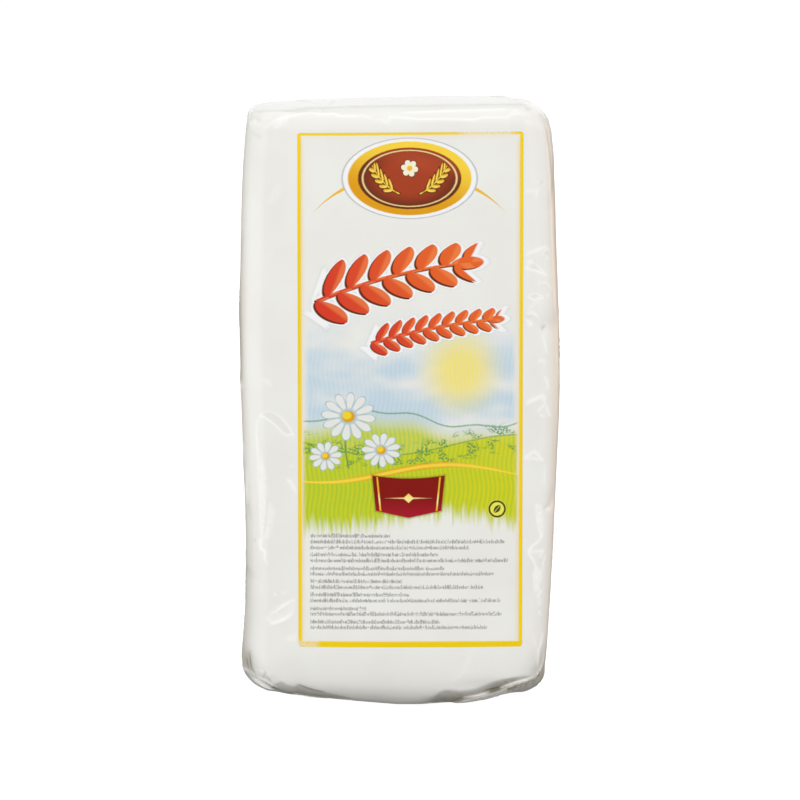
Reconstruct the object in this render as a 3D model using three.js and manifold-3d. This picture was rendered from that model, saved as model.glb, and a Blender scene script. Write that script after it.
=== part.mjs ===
import * as THREE from 'three';
import { mergeVertices } from 'three/addons/utils/BufferGeometryUtils.js';
import Module from 'manifold-3d';

// A brick of soft cheese in printed film, standing on its folded lower end.
// The label faces -Y, the lap seam of the film runs down the back.

// Driving dimensions, mm
const packHeight = 243.2;
const flapThickness = 0.8;
const topCrown = 0.7;
const topSlope = 0.018;

// Half widths and half depths of the plan outline at named heights
const leftEdge = [[0, 62.0], [10, 63.0], [19, 63.2], [32, 62.4], [62, 61.5], [102, 62.5], [135, 63.4],
  [167, 63.5], [202, 62.6], [224, 61.4], [243, 59.6]];
const rightEdge = [[0, 56.4], [10, 57.5], [19, 58.4], [45, 59.9], [70, 61.1], [102, 62.7], [135, 63.4],
  [167, 62.7], [202, 61.8], [224, 60.7], [243, 59.4]];
const frontDepth = [[0, 20.6], [14, 21.7], [40, 22.1], [120, 22.5], [205, 22.0], [240, 20.6]];
const backDepth = [[0, 20.8], [14, 21.8], [40, 22.2], [120, 22.6], [205, 22.0], [240, 20.4]];
const frontDome = [[0, 3.8], [25, 2.8], [60, 1.5], [240, 1.2]];
const backDome = 0.9;

// Plan corner radii: front left, front right, back right, back left
const cornerRadius = {
  frontLeft: [[0, 15], [30, 10], [120, 9.5], [240, 9]],
  frontRight: [[0, 15], [30, 9], [120, 8], [240, 11]],
  backRight: [[0, 18], [60, 13], [180, 13], [240, 17]],
  backLeft: [[0, 18], [60, 13], [180, 14], [240, 19]],
};

// Rounding between the sides and the two ends
const topRounding = { front: 7, right: 13, back: 9, left: 4.5 };
const baseRounding = { front: 9.5, right: 8, back: 7.5, left: 9 };

// The film flaps folded over the ends, half widths at the front and back of each
const topFlap = { frontLeft: -45, frontRight: 50, backLeft: -25, backRight: 39, tuck: 0.16 };
const baseFlap = { frontLeft: -43, frontRight: 40, backLeft: -30, backRight: 34, tuck: 0.16 };
const baseLift = { centre: 0, start: 30, rate: 0.0042, frontCentre: 4, frontStart: 5, frontRate: 0.076 };

// The lap seam on the back
const seam = { edge: 14, fade: 26, from: 16, to: 227, thickness: 0.8 };

// Mesh steps, and the edge length under which slivers along the joins are closed up
const shortestEdge = 0.01;
const cornerSteps = 7;
const longSteps = 20;
const sideSteps = 6;
const roundSteps = 6;
const sideHeights = 19;

// Smooth value between named heights
function valueAt(points, height) {
  const last = points.length - 1;
  if (height <= points[0][0]) {
    return points[0][1];
  }
  if (height >= points[last][0]) {
    return points[last][1];
  }
  let index = 0;
  while (points[index + 1][0] < height) {
    index += 1;
  }
  const before = points[Math.max(index - 1, 0)];
  const start = points[index];
  const end = points[index + 1];
  const after = points[Math.min(index + 2, last)];
  const span = end[0] - start[0];
  const t = (height - start[0]) / span;
  const slopeIn = (end[1] - before[1]) / (end[0] - before[0]);
  const slopeOut = (after[1] - start[1]) / (after[0] - start[0]);
  const t2 = t * t;
  const t3 = t2 * t;
  return (2 * t3 - 3 * t2 + 1) * start[1] + (t3 - 2 * t2 + t) * span * slopeIn
    + (3 * t2 - 2 * t3) * end[1] + (t3 - t2) * span * slopeOut;
}

// Plan outline at one height, drawn in by a share of the end rounding
function planRing(height, shrink, rounding) {
  const left = valueAt(leftEdge, height) - rounding.left * shrink;
  const right = valueAt(rightEdge, height) - rounding.right * shrink;
  const front = valueAt(frontDepth, height) - rounding.front * shrink;
  const back = valueAt(backDepth, height) - rounding.back * shrink;
  const corners = [
    ['frontLeft', -left, -front, 1, 1, 180],
    ['frontRight', right, -front, -1, 1, 270],
    ['backRight', right, back, -1, -1, 0],
    ['backLeft', -left, back, 1, -1, 90],
  ];
  const sides = [longSteps, sideSteps, longSteps, sideSteps];
  const ring = [];
  const arcs = corners.map(([name, x, y, inwardX, inwardY, startAngle]) => {
    const full = valueAt(cornerRadius[name], height);
    const radius = full - (full - Math.max(full - 8, 4)) * shrink;
    const points = [];
    for (let step = 0; step <= cornerSteps; step += 1) {
      const angle = THREE.MathUtils.degToRad(startAngle + 90 * step / cornerSteps);
      points.push({
        x: x + inwardX * radius + radius * Math.cos(angle),
        y: y + inwardY * radius + radius * Math.sin(angle),
        nx: Math.cos(angle),
        ny: Math.sin(angle),
      });
    }
    return points;
  });
  arcs.forEach((arc, index) => {
    ring.push(...arc);
    const next = arcs[(index + 1) % arcs.length][0];
    const from = arc[arc.length - 1];
    for (let step = 1; step < sides[index]; step += 1) {
      const t = step / sides[index];
      ring.push({
        x: from.x + (next.x - from.x) * t,
        y: from.y + (next.y - from.y) * t,
        nx: from.nx,
        ny: from.ny,
      });
    }
  });
  // the long faces are slightly domed
  ring.forEach((point) => {
    const reach = Math.max(0, 1 - (point.x / 62) ** 2);
    const dome = point.y < 0 ? -valueAt(frontDome, height) : backDome;
    point.y += dome * reach * Math.abs(point.ny) * (1 - 0.6 * shrink);
  });
  return ring;
}

function roundingAt(rounding, point) {
  const side = point.nx > 0 ? rounding.right : rounding.left;
  const face = point.ny > 0 ? rounding.back : rounding.front;
  const wide = Math.abs(point.nx);
  const deep = Math.abs(point.ny);
  return (side * wide + face * deep) / (wide + deep);
}

// Height added to the lower end away from the middle of the foot, more along its front edge
function footLift(x, y, height) {
  const beyond = Math.max(0, Math.abs(x - baseLift.centre) - baseLift.start);
  const frontBeyond = Math.max(0, Math.abs(x - baseLift.frontCentre) - baseLift.frontStart);
  const frontShare = THREE.MathUtils.smoothstep(-y, -2, 14);
  const fade = Math.max(0, 1 - height / 26);
  return (baseLift.rate * beyond * beyond + baseLift.frontRate * frontBeyond * frontShare) * fade;
}

function topHeight(x, y) {
  const wide = Math.min(1, Math.abs(x) / 60);
  const deep = Math.min(1, Math.abs(y) / 22);
  return packHeight - flapThickness - topCrown * (wide ** 2 + deep ** 2) * 0.8 + topSlope * x;
}

// Rings from the middle of the lower end up to the middle of the upper end
function bodyRings() {
  const rings = [];
  const bottom = flapThickness;
  const inner = [0.3, 0.62, 0.86];
  const addCap = (level, rounding, isTop, shares) => {
    shares.forEach((share) => {
      const ring = planRing(level, 1, rounding);
      rings.push(ring.map((point) => {
        const x = point.x * share;
        const y = point.y * share;
        return [x, y, isTop ? topHeight(x, y) : bottom + footLift(x, y, 0)];
      }));
    });
  };
  addCap(0, baseRounding, false, inner);
  for (let step = 0; step <= roundSteps; step += 1) {
    const angle = (Math.PI / 2) * (1 - step / roundSteps);
    const shrink = 1 - Math.cos(angle);
    const ring = planRing(10 * (1 - Math.sin(angle)), shrink, baseRounding);
    rings.push(ring.map((point) => {
      const rise = roundingAt(baseRounding, point) * (1 - Math.sin(angle));
      return [point.x, point.y, bottom + rise + footLift(point.x, point.y, rise)];
    }));
  }
  for (let step = 1; step < sideHeights; step += 1) {
    const share = step / sideHeights;
    const ring = planRing(10 + (packHeight - 20) * share, 0, topRounding);
    rings.push(ring.map((point) => {
      const low = bottom + roundingAt(baseRounding, point);
      const high = topHeight(point.x, point.y) - roundingAt(topRounding, point);
      const height = low + (high - low) * share;
      return [point.x, point.y, height + footLift(point.x, point.y, height)];
    }));
  }
  for (let step = 0; step <= roundSteps; step += 1) {
    const angle = (Math.PI / 2) * (step / roundSteps);
    const shrink = 1 - Math.cos(angle);
    const ring = planRing(packHeight - 10 * (1 - Math.sin(angle)), shrink, topRounding);
    rings.push(ring.map((point) => {
      const drop = roundingAt(topRounding, point) * (1 - Math.sin(angle));
      return [point.x, point.y, topHeight(point.x, point.y) - drop];
    }));
  }
  addCap(packHeight, topRounding, true, [...inner].reverse());
  return rings;
}

function solidFromGrid(positions, triangles) {
  const geometry = new THREE.BufferGeometry();
  geometry.setAttribute('position', new THREE.Float32BufferAttribute(positions.flat(), 3));
  geometry.setIndex(triangles.flat());
  return geometry;
}

function bodyGeometry() {
  const rings = bodyRings();
  const around = rings[0].length;
  const positions = rings.flat();
  const triangles = [];
  for (let level = 0; level < rings.length - 1; level += 1) {
    for (let index = 0; index < around; index += 1) {
      const next = (index + 1) % around;
      const a = level * around + index;
      const b = level * around + next;
      const c = (level + 1) * around + next;
      const d = (level + 1) * around + index;
      triangles.push([a, b, c], [a, c, d]);
    }
  }
  const lowPole = positions.length;
  positions.push([0, 0, flapThickness + footLift(0, 0, 0)]);
  const highPole = positions.length;
  positions.push([0, 0, topHeight(0, 0)]);
  const lastRing = (rings.length - 1) * around;
  for (let index = 0; index < around; index += 1) {
    const next = (index + 1) % around;
    triangles.push([next, index, lowPole]);
    triangles.push([lastRing + index, lastRing + next, highPole]);
  }
  return solidFromGrid(positions, triangles);
}

// A closed slab between an outer and an inner grid of points
function slabGeometry(countU, countV, outer, inner) {
  const positions = [];
  const triangles = [];
  const wide = countU + 1;
  const layer = wide * (countV + 1);
  [outer, inner].forEach((surface) => {
    for (let v = 0; v <= countV; v += 1) {
      for (let u = 0; u <= countU; u += 1) {
        positions.push(surface(u / countU, v / countV));
      }
    }
  });
  const quad = (a, b, c, d) => triangles.push([a, b, c], [a, c, d]);
  for (let v = 0; v < countV; v += 1) {
    for (let u = 0; u < countU; u += 1) {
      const a = v * wide + u;
      quad(a, a + 1, a + 1 + wide, a + wide);
      quad(layer + a, layer + a + wide, layer + a + 1 + wide, layer + a + 1);
    }
  }
  for (let u = 0; u < countU; u += 1) {
    const far = countV * wide + u;
    quad(u + 1, u, layer + u, layer + u + 1);
    quad(far, far + 1, layer + far + 1, layer + far);
  }
  for (let v = 0; v < countV; v += 1) {
    const near = v * wide;
    const far = near + countU;
    quad(near, near + wide, layer + near + wide, layer + near);
    quad(far + wide, far, layer + far, layer + far + wide);
  }
  return solidFromGrid(positions, triangles);
}

// The front film goes over the upper end as a flap, its front edge tucked under the surface
function topFlapGeometry() {
  const start = -valueAt(frontDepth, packHeight) + topRounding.front * 0.6;
  const end = valueAt(backDepth, packHeight) - topRounding.back * 0.75;
  const place = (u, v) => {
    const left = topFlap.frontLeft + (topFlap.backLeft - topFlap.frontLeft) * v;
    const right = topFlap.frontRight + (topFlap.backRight - topFlap.frontRight) * v;
    return [left + (right - left) * u, start + (end - start) * v];
  };
  return slabGeometry(16, 8, (u, v) => {
    const [x, y] = place(u, v);
    const rise = Math.min(1, v / topFlap.tuck);
    return [x, y, topHeight(x, y) - 1.2 * (1 - rise) + flapThickness * rise];
  }, (u, v) => {
    const [x, y] = place(u, v);
    return [x, y, topHeight(x, y) - 4];
  });
}

// The same flap under the lower end, flat where the pack stands on it
function baseFlapGeometry() {
  const start = -valueAt(frontDepth, 0) + baseRounding.front * 0.62;
  const end = valueAt(backDepth, 0) - baseRounding.back * 0.72;
  const place = (u, v) => {
    const left = baseFlap.frontLeft + (baseFlap.backLeft - baseFlap.frontLeft) * v;
    const right = baseFlap.frontRight + (baseFlap.backRight - baseFlap.frontRight) * v;
    return [left + (right - left) * u, start + (end - start) * v];
  };
  return slabGeometry(16, 8, (u, v) => {
    const [x, y] = place(u, v);
    return [x, y, footLift(x, y, 0) + flapThickness + 3.2];
  }, (u, v) => {
    const [x, y] = place(u, v);
    const rise = Math.min(1, v / baseFlap.tuck);
    return [x, y, footLift(x, y, 0) + (flapThickness + 1.2) * (1 - rise)];
  });
}

// One film edge laid over the other down the back
function seamGeometry() {
  const backAt = (x, height) => valueAt(backDepth, height) + backDome * (1 - (x / 62) ** 2);
  const place = (u, v) => [seam.edge - seam.fade * u, seam.from + (seam.to - seam.from) * v];
  return slabGeometry(5, 20, (u, v) => {
    const [x, height] = place(u, v);
    const ends = Math.min(1, v / 0.04, (1 - v) / 0.04);
    const rise = (1 - u) * ends;
    return [x, backAt(x, height) - 0.5 * (1 - rise) + seam.thickness * rise, height];
  }, (u, v) => {
    const [x, height] = place(u, v);
    return [x, backAt(x, height) - 4, height];
  });
}

const wasm = await Module();
wasm.setup();

function toManifold(geometry) {
  return new wasm.Manifold(new wasm.Mesh({
    numProp: 3,
    vertProperties: new Float32Array(geometry.getAttribute('position').array),
    triVerts: new Uint32Array(geometry.getIndex().array),
  }));
}

const wrapped = toManifold(bodyGeometry())
  .add(toManifold(topFlapGeometry()))
  .add(toManifold(baseFlapGeometry()))
  .add(toManifold(seamGeometry()));
const joined = wrapped.simplify(shortestEdge).getMesh();

let packGeometry = new THREE.BufferGeometry();
packGeometry.setAttribute('position', new THREE.Float32BufferAttribute(joined.vertProperties, 3));
packGeometry.setIndex(Array.from(joined.triVerts));
packGeometry = mergeVertices(packGeometry, 1e-3);
packGeometry.computeVertexNormals();

const film = new THREE.MeshStandardMaterial({ color: '#eceae5', roughness: 0.35, metalness: 0 });
film.name = 'white_film';

const pack = new THREE.Mesh(packGeometry, film);
pack.name = 'wrapped_brick';

const part = new THREE.Group();
part.name = 'brie_pack';
part.add(pack);

export default part;
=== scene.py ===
import math

import bpy
import numpy as np
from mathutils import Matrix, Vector, noise


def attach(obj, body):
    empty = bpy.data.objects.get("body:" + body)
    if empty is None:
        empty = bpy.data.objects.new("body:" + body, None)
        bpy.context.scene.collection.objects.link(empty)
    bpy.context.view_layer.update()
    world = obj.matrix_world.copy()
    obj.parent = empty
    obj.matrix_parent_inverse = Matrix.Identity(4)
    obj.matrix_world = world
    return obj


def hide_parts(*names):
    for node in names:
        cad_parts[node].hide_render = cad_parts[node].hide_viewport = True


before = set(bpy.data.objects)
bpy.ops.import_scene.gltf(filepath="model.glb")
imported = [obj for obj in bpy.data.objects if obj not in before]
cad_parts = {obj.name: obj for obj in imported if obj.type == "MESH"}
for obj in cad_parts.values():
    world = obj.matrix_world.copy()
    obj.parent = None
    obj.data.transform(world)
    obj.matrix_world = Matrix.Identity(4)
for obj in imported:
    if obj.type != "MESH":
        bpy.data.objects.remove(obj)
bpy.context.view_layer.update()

mm = 0.001

# the pack's own form, in millimetres, with the sizes that the CAD solid has
packForm = {
    "height": 243.2,
    "flapThickness": 0.8,
    "topCrown": 0.7,
    "topCrownHalf": (60, 22),
    "topSlope": 0.018,
    "endBlend": 10,
    "domeHalf": 62,
    "left": [(0, 62.0), (10, 63.0), (19, 63.2), (32, 62.4), (62, 61.5), (102, 62.5), (135, 63.4),
             (167, 63.5), (202, 62.6), (224, 61.4), (243, 59.6)],
    "right": [(0, 56.4), (10, 57.5), (19, 58.4), (45, 59.9), (70, 61.1), (102, 62.7), (135, 63.4),
              (167, 62.7), (202, 61.8), (224, 60.7), (243, 59.4)],
    "front": [(0, 20.6), (14, 21.7), (40, 22.1), (120, 22.5), (205, 22.0), (240, 20.6)],
    "back": [(0, 20.8), (14, 21.8), (40, 22.2), (120, 22.6), (205, 22.0), (240, 20.4)],
    "frontDome": [(0, 3.8), (25, 2.8), (60, 1.5), (240, 1.2)],
    "backDome": 0.9,
    "cornerRadii": {
        (-1, -1): [(0, 15), (30, 10), (120, 9.5), (240, 9)],
        (1, -1): [(0, 15), (30, 9), (120, 8), (240, 11)],
        (1, 1): [(0, 18), (60, 13), (180, 13), (240, 17)],
        (-1, 1): [(0, 18), (60, 13), (180, 14), (240, 19)],
    },
    "topRounding": {"front": 7, "right": 13, "back": 9, "left": 4.5},
    "baseRounding": {"front": 9.5, "right": 8, "back": 7.5, "left": 9},
    "liftCentre": 0,
    "liftStart": 30,
    "liftRate": 0.0042,
    "frontLiftCentre": 4,
    "frontLiftStart": 5,
    "frontLiftRate": 0.076,
    "liftHeight": 26,
}

# how finely the film is cut, which share of each face goes round a corner or an end, and how near
# a crease it is cut finest
filmMesh = {
    "columns": 60,
    "rows": 96,
    "deep": 20,
    "cornerShare": 0.17,
    "sideCornerShare": 0.42,
    "endShare": 0.06,
    "capShare": 0.3,
    "fineReach": 1.7,
}

cameraSettings = {
    "elevation": 9.5,
    "distance": 2.6,
    "lens": 292.5,
    "aim": 0.1222,
}


def clearSelection():
    bpy.ops.object.select_all(action="DESELECT")


def smoothValue(points, height):
    # the same smooth curve between named heights as the CAD solid has
    xs = np.array([p[0] for p in points], float)
    ys = np.array([p[1] for p in points], float)
    last = len(xs) - 1
    h = np.clip(height, xs[0], xs[last])
    i = np.clip(np.searchsorted(xs, h, side="right") - 1, 0, last - 1)
    before = np.maximum(i - 1, 0)
    after = np.minimum(i + 2, last)
    span = xs[i + 1] - xs[i]
    t = (h - xs[i]) / span
    slopeIn = (ys[i + 1] - ys[before]) / (xs[i + 1] - xs[before])
    slopeOut = (ys[after] - ys[i]) / (xs[after] - xs[i])
    return ((2 * t**3 - 3 * t**2 + 1) * ys[i] + (t**3 - 2 * t**2 + t) * span * slopeIn
            + (3 * t**2 - 2 * t**3) * ys[i + 1] + (t**3 - t**2) * span * slopeOut)


def smoothStep(low, high, value):
    # from 0 at low to 1 at high, low may be the larger one
    t = np.clip((value - low) / (high - low), 0, 1)
    return t * t * (3 - 2 * t)


def planPoint(acrossX, acrossY, height, shrink, rounding):
    # acrossX, acrossY lie on the edge of a square, which is bent round the pack's plan outline
    form = packForm
    left = smoothValue(form["left"], height) - rounding["left"] * shrink
    right = smoothValue(form["right"], height) - rounding["right"] * shrink
    front = smoothValue(form["front"], height) - rounding["front"] * shrink
    back = smoothValue(form["back"], height) - rounding["back"] * shrink
    radius = {}
    for corner, points in form["cornerRadii"].items():
        full = smoothValue(points, height)
        radius[corner] = full - (full - np.maximum(full - 8, 4)) * shrink
    x = np.zeros_like(acrossX)
    y = np.zeros_like(acrossX)
    nx = np.zeros_like(acrossX)
    ny = np.zeros_like(acrossX)
    onLong = np.abs(acrossY) >= np.abs(acrossX) - 1e-9
    for long in (True, False):
        part = onLong if long else ~onLong
        along, off = (acrossX, acrossY) if long else (acrossY, acrossX)
        ends, walls = ((left, right), (front, back)) if long else ((front, back), (left, right))
        share = filmMesh["cornerShare"] if long else filmMesh["sideCornerShare"]
        for side in (-1, 1):
            here = part & (off * side > 0)
            if not here.any():
                continue
            t = along[here]
            turn = np.clip((np.abs(t) - (1 - share)) / share, 0, 1) * (math.pi / 4)
            low = (-1, side) if long else (side, -1)
            high = (1, side) if long else (side, 1)
            depth = walls[side > 0][here]
            start = -ends[0][here] + radius[low][here]
            end = ends[1][here] - radius[high][here]
            flat = (np.clip(t, share - 1, 1 - share) / (1 - share) + 1) / 2
            r = np.where(t < 0, radius[low][here], radius[high][here])
            # the places along and off the wall, and the normal's two parts
            places = (x, y, nx, ny) if long else (y, x, ny, nx)
            places[0][here] = start + (end - start) * flat + np.sign(t) * r * np.sin(turn)
            places[1][here] = side * (depth - r + r * np.cos(turn))
            places[2][here] = np.sign(t) * np.sin(turn)
            places[3][here] = side * np.cos(turn)
    reach = np.maximum(0, 1 - (x / form["domeHalf"]) ** 2)
    dome = np.where(y < 0, -smoothValue(form["frontDome"], height), form["backDome"])
    y = y + dome * reach * np.abs(ny) * (1 - 0.6 * shrink)
    return x, y, nx, ny


def roundingAt(rounding, nx, ny):
    side = np.where(nx > 0, rounding["right"], rounding["left"])
    face = np.where(ny > 0, rounding["back"], rounding["front"])
    wide = np.abs(nx)
    deep = np.abs(ny)
    return (side * wide + face * deep) / (wide + deep)


def footLift(x, y, height):
    form = packForm
    beyond = np.maximum(0, np.abs(x - form["liftCentre"]) - form["liftStart"])
    frontBeyond = np.maximum(0, np.abs(x - form["frontLiftCentre"]) - form["frontLiftStart"])
    lift = form["liftRate"] * beyond**2 + form["frontLiftRate"] * frontBeyond * smoothStep(-2, 14, -y)
    return lift * np.maximum(0, 1 - height / form["liftHeight"])


def topHeight(x, y):
    halfWide, halfDeep = packForm["topCrownHalf"]
    wide = np.minimum(1, np.abs(x) / halfWide)
    deep = np.minimum(1, np.abs(y) / halfDeep)
    crown = packForm["topCrown"] * (wide**2 + deep**2) * 0.8
    return packForm["height"] - packForm["flapThickness"] - crown + packForm["topSlope"] * x


def edgePoint(u, v, isTop, turn):
    # a point in the rounding between the sides and an end, turn 0 at the side and 90 degrees on the end
    rounding = packForm["topRounding"] if isTop else packForm["baseRounding"]
    shrink = 1 - np.cos(turn)
    rise = 1 - np.sin(turn)
    level = packForm["endBlend"] * rise
    if isTop:
        level = packForm["height"] - level
    x, y, nx, ny = planPoint(u, v, level, shrink, rounding)
    step = roundingAt(rounding, nx, ny) * rise
    if isTop:
        z = topHeight(x, y) - step
    else:
        z = packForm["flapThickness"] + step + footLift(x, y, step)
    return x, y, z


def formPoints(a, b, c):
    # bends the faces of a cube from -1 to 1 into the wrapped brick
    mesh = filmMesh
    reach = np.maximum(np.abs(a), np.abs(b))
    x = np.zeros_like(a)
    y = np.zeros_like(a)
    z = np.zeros_like(a)
    onSide = reach > 1 - 1e-6
    straight = onSide & (np.abs(c) <= 1 - mesh["endShare"])
    if straight.any():
        share = (c[straight] / (1 - mesh["endShare"]) + 1) / 2
        height = packForm["endBlend"] + (packForm["height"] - 2 * packForm["endBlend"]) * share
        px, py, nx, ny = planPoint(a[straight], b[straight], height, np.zeros_like(share),
                                   packForm["topRounding"])
        low = packForm["flapThickness"] + roundingAt(packForm["baseRounding"], nx, ny)
        high = topHeight(px, py) - roundingAt(packForm["topRounding"], nx, ny)
        pz = low + (high - low) * share
        x[straight], y[straight] = px, py
        z[straight] = pz + footLift(px, py, pz)
    for isTop in (False, True):
        end = c > 0 if isTop else c < 0
        bent = onSide & end & ~straight
        turn = (np.abs(c[bent]) - (1 - mesh["endShare"])) / mesh["endShare"] * (math.pi / 4)
        x[bent], y[bent], z[bent] = edgePoint(a[bent], b[bent], isTop, turn)
        cap = ~onSide & end
        rim = cap & (reach > 1 - mesh["capShare"])
        inward = (1 - reach[rim]) / mesh["capShare"]
        turn = math.pi / 4 * (1 + inward)
        x[rim], y[rim], z[rim] = edgePoint(a[rim] / reach[rim], b[rim] / reach[rim], isTop, turn)
        flat = cap & ~rim
        u = a[flat] / (1 - mesh["capShare"])
        v = b[flat] / (1 - mesh["capShare"])
        full = np.full_like(u, math.pi / 2)
        one = np.ones_like(u)
        # blended from its four edges, less its four corners
        nearV, farV = (1 - v) / 2, (1 + v) / 2
        nearU, farU = (1 - u) / 2, (1 + u) / 2
        for share, cu, cv in (
                (nearV, u, -one), (farV, u, one), (nearU, -one, v), (farU, one, v),
                (-nearU * nearV, -one, -one), (-farU * nearV, one, -one),
                (-nearU * farV, -one, one), (-farU * farV, one, one)):
            edgeX, edgeY, _ = edgePoint(cu, cv, isTop, full)
            x[flat] += share * edgeX
            y[flat] += share * edgeY
        if isTop:
            z[flat] = topHeight(x[flat], y[flat])
        else:
            z[flat] = packForm["flapThickness"] + footLift(x[flat], y[flat], 0)
    return x, y, z


def readVectors(mesh, name):
    # the place ("co") or the "normal" of every point
    flat = np.empty(len(mesh.vertices) * 3, dtype=np.float32)
    mesh.vertices.foreach_get(name, flat)
    return flat.reshape(-1, 3).astype(float)


def writePoints(mesh, points):
    mesh.vertices.foreach_set("co", points.astype(np.float32).ravel())
    mesh.update()


def cutCube(name, columns, deep, rows):
    # a cube cut into an even grid, one axis after the other
    clearSelection()
    bpy.ops.mesh.primitive_cube_add(size=2)
    piece = bpy.context.object
    piece.name = name
    for axis, count in ((0, columns), (1, deep), (2, rows)):
        mesh = piece.data
        deselectMesh(mesh)
        points = mesh.vertices
        for edge in mesh.edges:
            start = points[edge.vertices[0]].co
            end = points[edge.vertices[1]].co
            edge.select = abs(start[axis] - end[axis]) > 1.9
        bpy.ops.object.mode_set(mode="EDIT")
        bpy.ops.mesh.select_mode(type="EDGE")
        bpy.ops.mesh.subdivide(number_cuts=count - 1)
        bpy.ops.object.mode_set(mode="OBJECT")
    return piece


def deselectMesh(mesh):
    for group in (mesh.vertices, mesh.edges, mesh.polygons):
        group.foreach_set("select", np.zeros(len(group), dtype=bool))


def cutFiner(piece, wanted, cuts):
    # cuts the chosen faces of the cube grid once more, wanted(centres, normals) says which
    mesh = piece.data
    deselectMesh(mesh)
    centres = np.empty(len(mesh.polygons) * 3, dtype=np.float32)
    normals = np.empty_like(centres)
    mesh.polygons.foreach_get("center", centres)
    mesh.polygons.foreach_get("normal", normals)
    chosen = wanted(centres.reshape(-1, 3).astype(float), normals.reshape(-1, 3))
    mesh.polygons.foreach_set("select", chosen)
    bpy.ops.object.mode_set(mode="EDIT")
    bpy.ops.mesh.select_mode(type="FACE")
    bpy.ops.mesh.subdivide(number_cuts=cuts)
    bpy.ops.mesh.select_mode(type="VERT")
    bpy.ops.object.mode_set(mode="OBJECT")


def wantsFiner(centres, normals):
    # all but the flat print and the middle of the back
    x, y, z = centres.T
    nx, ny, nz = normals.T
    onFront = (ny < -0.9) & ((x < -0.6) | (x > 0.72) | (np.abs(z) > 0.8))
    onBack = (ny > 0.9) & ((np.abs(x) > 0.8) | (np.abs(z) > 0.86))
    onSide = (np.abs(nx) > 0.9) & ((y < 0.2) | (np.abs(z) > 0.8))
    return onFront | onBack | onSide | (np.abs(nz) > 0.9)


def wantsFinest(centres, normals):
    # wherever a crease, a patch or a tuck of the film needs a thin line
    x, y, z = formPoints(*centres.T)
    onFront = normals[:, 1] < -0.9
    onTop = normals[:, 2] > 0.9
    lines = [fold[0] for fold in frontFolds]
    lines += [outline + outline[:1] for outline, _, _, _ in frontPatches]
    lines += [tuck["lip"] for tuck in footTucks] + [tuck["fold"] for tuck in footTucks]
    chosen = np.zeros(len(x), dtype=bool)
    for line in lines:
        chosen |= onFront & (pathDistance(x, z, line)[0] < filmMesh["fineReach"])
    for outline, _, _, _ in frontPatches:
        chosen |= onFront & (signedDistance(x, z, outline) < 0.5)
    for line, _, _ in topFolds:
        chosen |= onTop & (pathDistance(x, y, line)[0] < filmMesh["fineReach"])
    return chosen


# where each face of the cube lies on the bake map: low and high corner
mapAreas = {
    "front": ((0.005, 0.005), (0.655, 0.995)),
    "back": ((0.665, 0.005), (0.785, 0.995)),
    "left": ((0.795, 0.005), (0.855, 0.995)),
    "right": ((0.865, 0.005), (0.925, 0.995)),
    "top": ((0.935, 0.505), (0.995, 0.995)),
    "base": ((0.935, 0.005), (0.995, 0.495)),
}


def layOutMap(mesh):
    # spreads the six faces of the cube grid over the map, the front largest for its print
    layer = mesh.uv_layers[0] if mesh.uv_layers else mesh.uv_layers.new()
    layer.name = "OFBake"
    for face in mesh.polygons:
        nx, ny, nz = face.normal
        if abs(ny) > 0.9:
            name, across, up = ("front" if ny < 0 else "back"), 0, 2
        elif abs(nx) > 0.9:
            name, across, up = ("left" if nx < 0 else "right"), 1, 2
        else:
            name, across, up = ("base" if nz < 0 else "top"), 1, 0
        low, high = mapAreas[name]
        for loop in face.loop_indices:
            point = mesh.vertices[mesh.loops[loop].vertex_index].co
            layer.data[loop].uv = (low[0] + (high[0] - low[0]) * (point[across] + 1) / 2,
                                   low[1] + (high[1] - low[1]) * (point[up] + 1) / 2)


def makeWrap():
    mesh = filmMesh
    wrap = cutCube("film_wrap", mesh["columns"], mesh["deep"], mesh["rows"])
    cutFiner(wrap, wantsFiner, 1)
    cutFiner(wrap, wantsFinest, 2)
    layOutMap(wrap.data)
    points = readVectors(wrap.data, "co")
    x, y, z = formPoints(points[:, 0], points[:, 1], points[:, 2])
    writePoints(wrap.data, np.stack([x, y, z], axis=1) * mm)
    bpy.ops.object.shade_smooth()
    wrap.data.calc_loop_triangles()
    print("film wrap", len(wrap.data.loop_triangles), "triangles")
    return wrap


def signedDistance(px, pz, outline):
    # distance to a closed outline, negative inside
    nearest = np.full(px.shape, 1e9)
    inside = np.zeros(px.shape, dtype=bool)
    for index, (x1, z1) in enumerate(outline):
        x2, z2 = outline[index - 1]
        ex, ez = x2 - x1, z2 - z1
        wx, wz = px - x1, pz - z1
        t = np.clip((wx * ex + wz * ez) / (ex * ex + ez * ez), 0, 1)
        nearest = np.minimum(nearest, np.hypot(wx - ex * t, wz - ez * t))
        crosses = ((z1 > pz) != (z2 > pz)) & (px < x1 + (pz - z1) * ex / (ez if ez else 1e-9))
        inside ^= crosses
    return np.where(inside, -nearest, nearest)


def pathDistance(px, pz, path):
    # distance to a bent path, and how far along it the nearest place is, from 0 to 1
    lengths = [math.dist(path[i], path[i + 1]) for i in range(len(path) - 1)]
    whole = sum(lengths)
    nearest = np.full(px.shape, 1e9)
    place = np.zeros(px.shape)
    done = 0
    for index, length in enumerate(lengths):
        (x1, z1), (x2, z2) = path[index], path[index + 1]
        if length > 0:
            ex, ez = x2 - x1, z2 - z1
            t = np.clip(((px - x1) * ex + (pz - z1) * ez) / (length * length), 0, 1)
            distance = np.hypot(px - x1 - ex * t, pz - z1 - ez * t)
            closer = distance < nearest
            nearest = np.where(closer, distance, nearest)
            place = np.where(closer, (done + t * length) / whole, place)
        done += length
    return nearest, place


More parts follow.
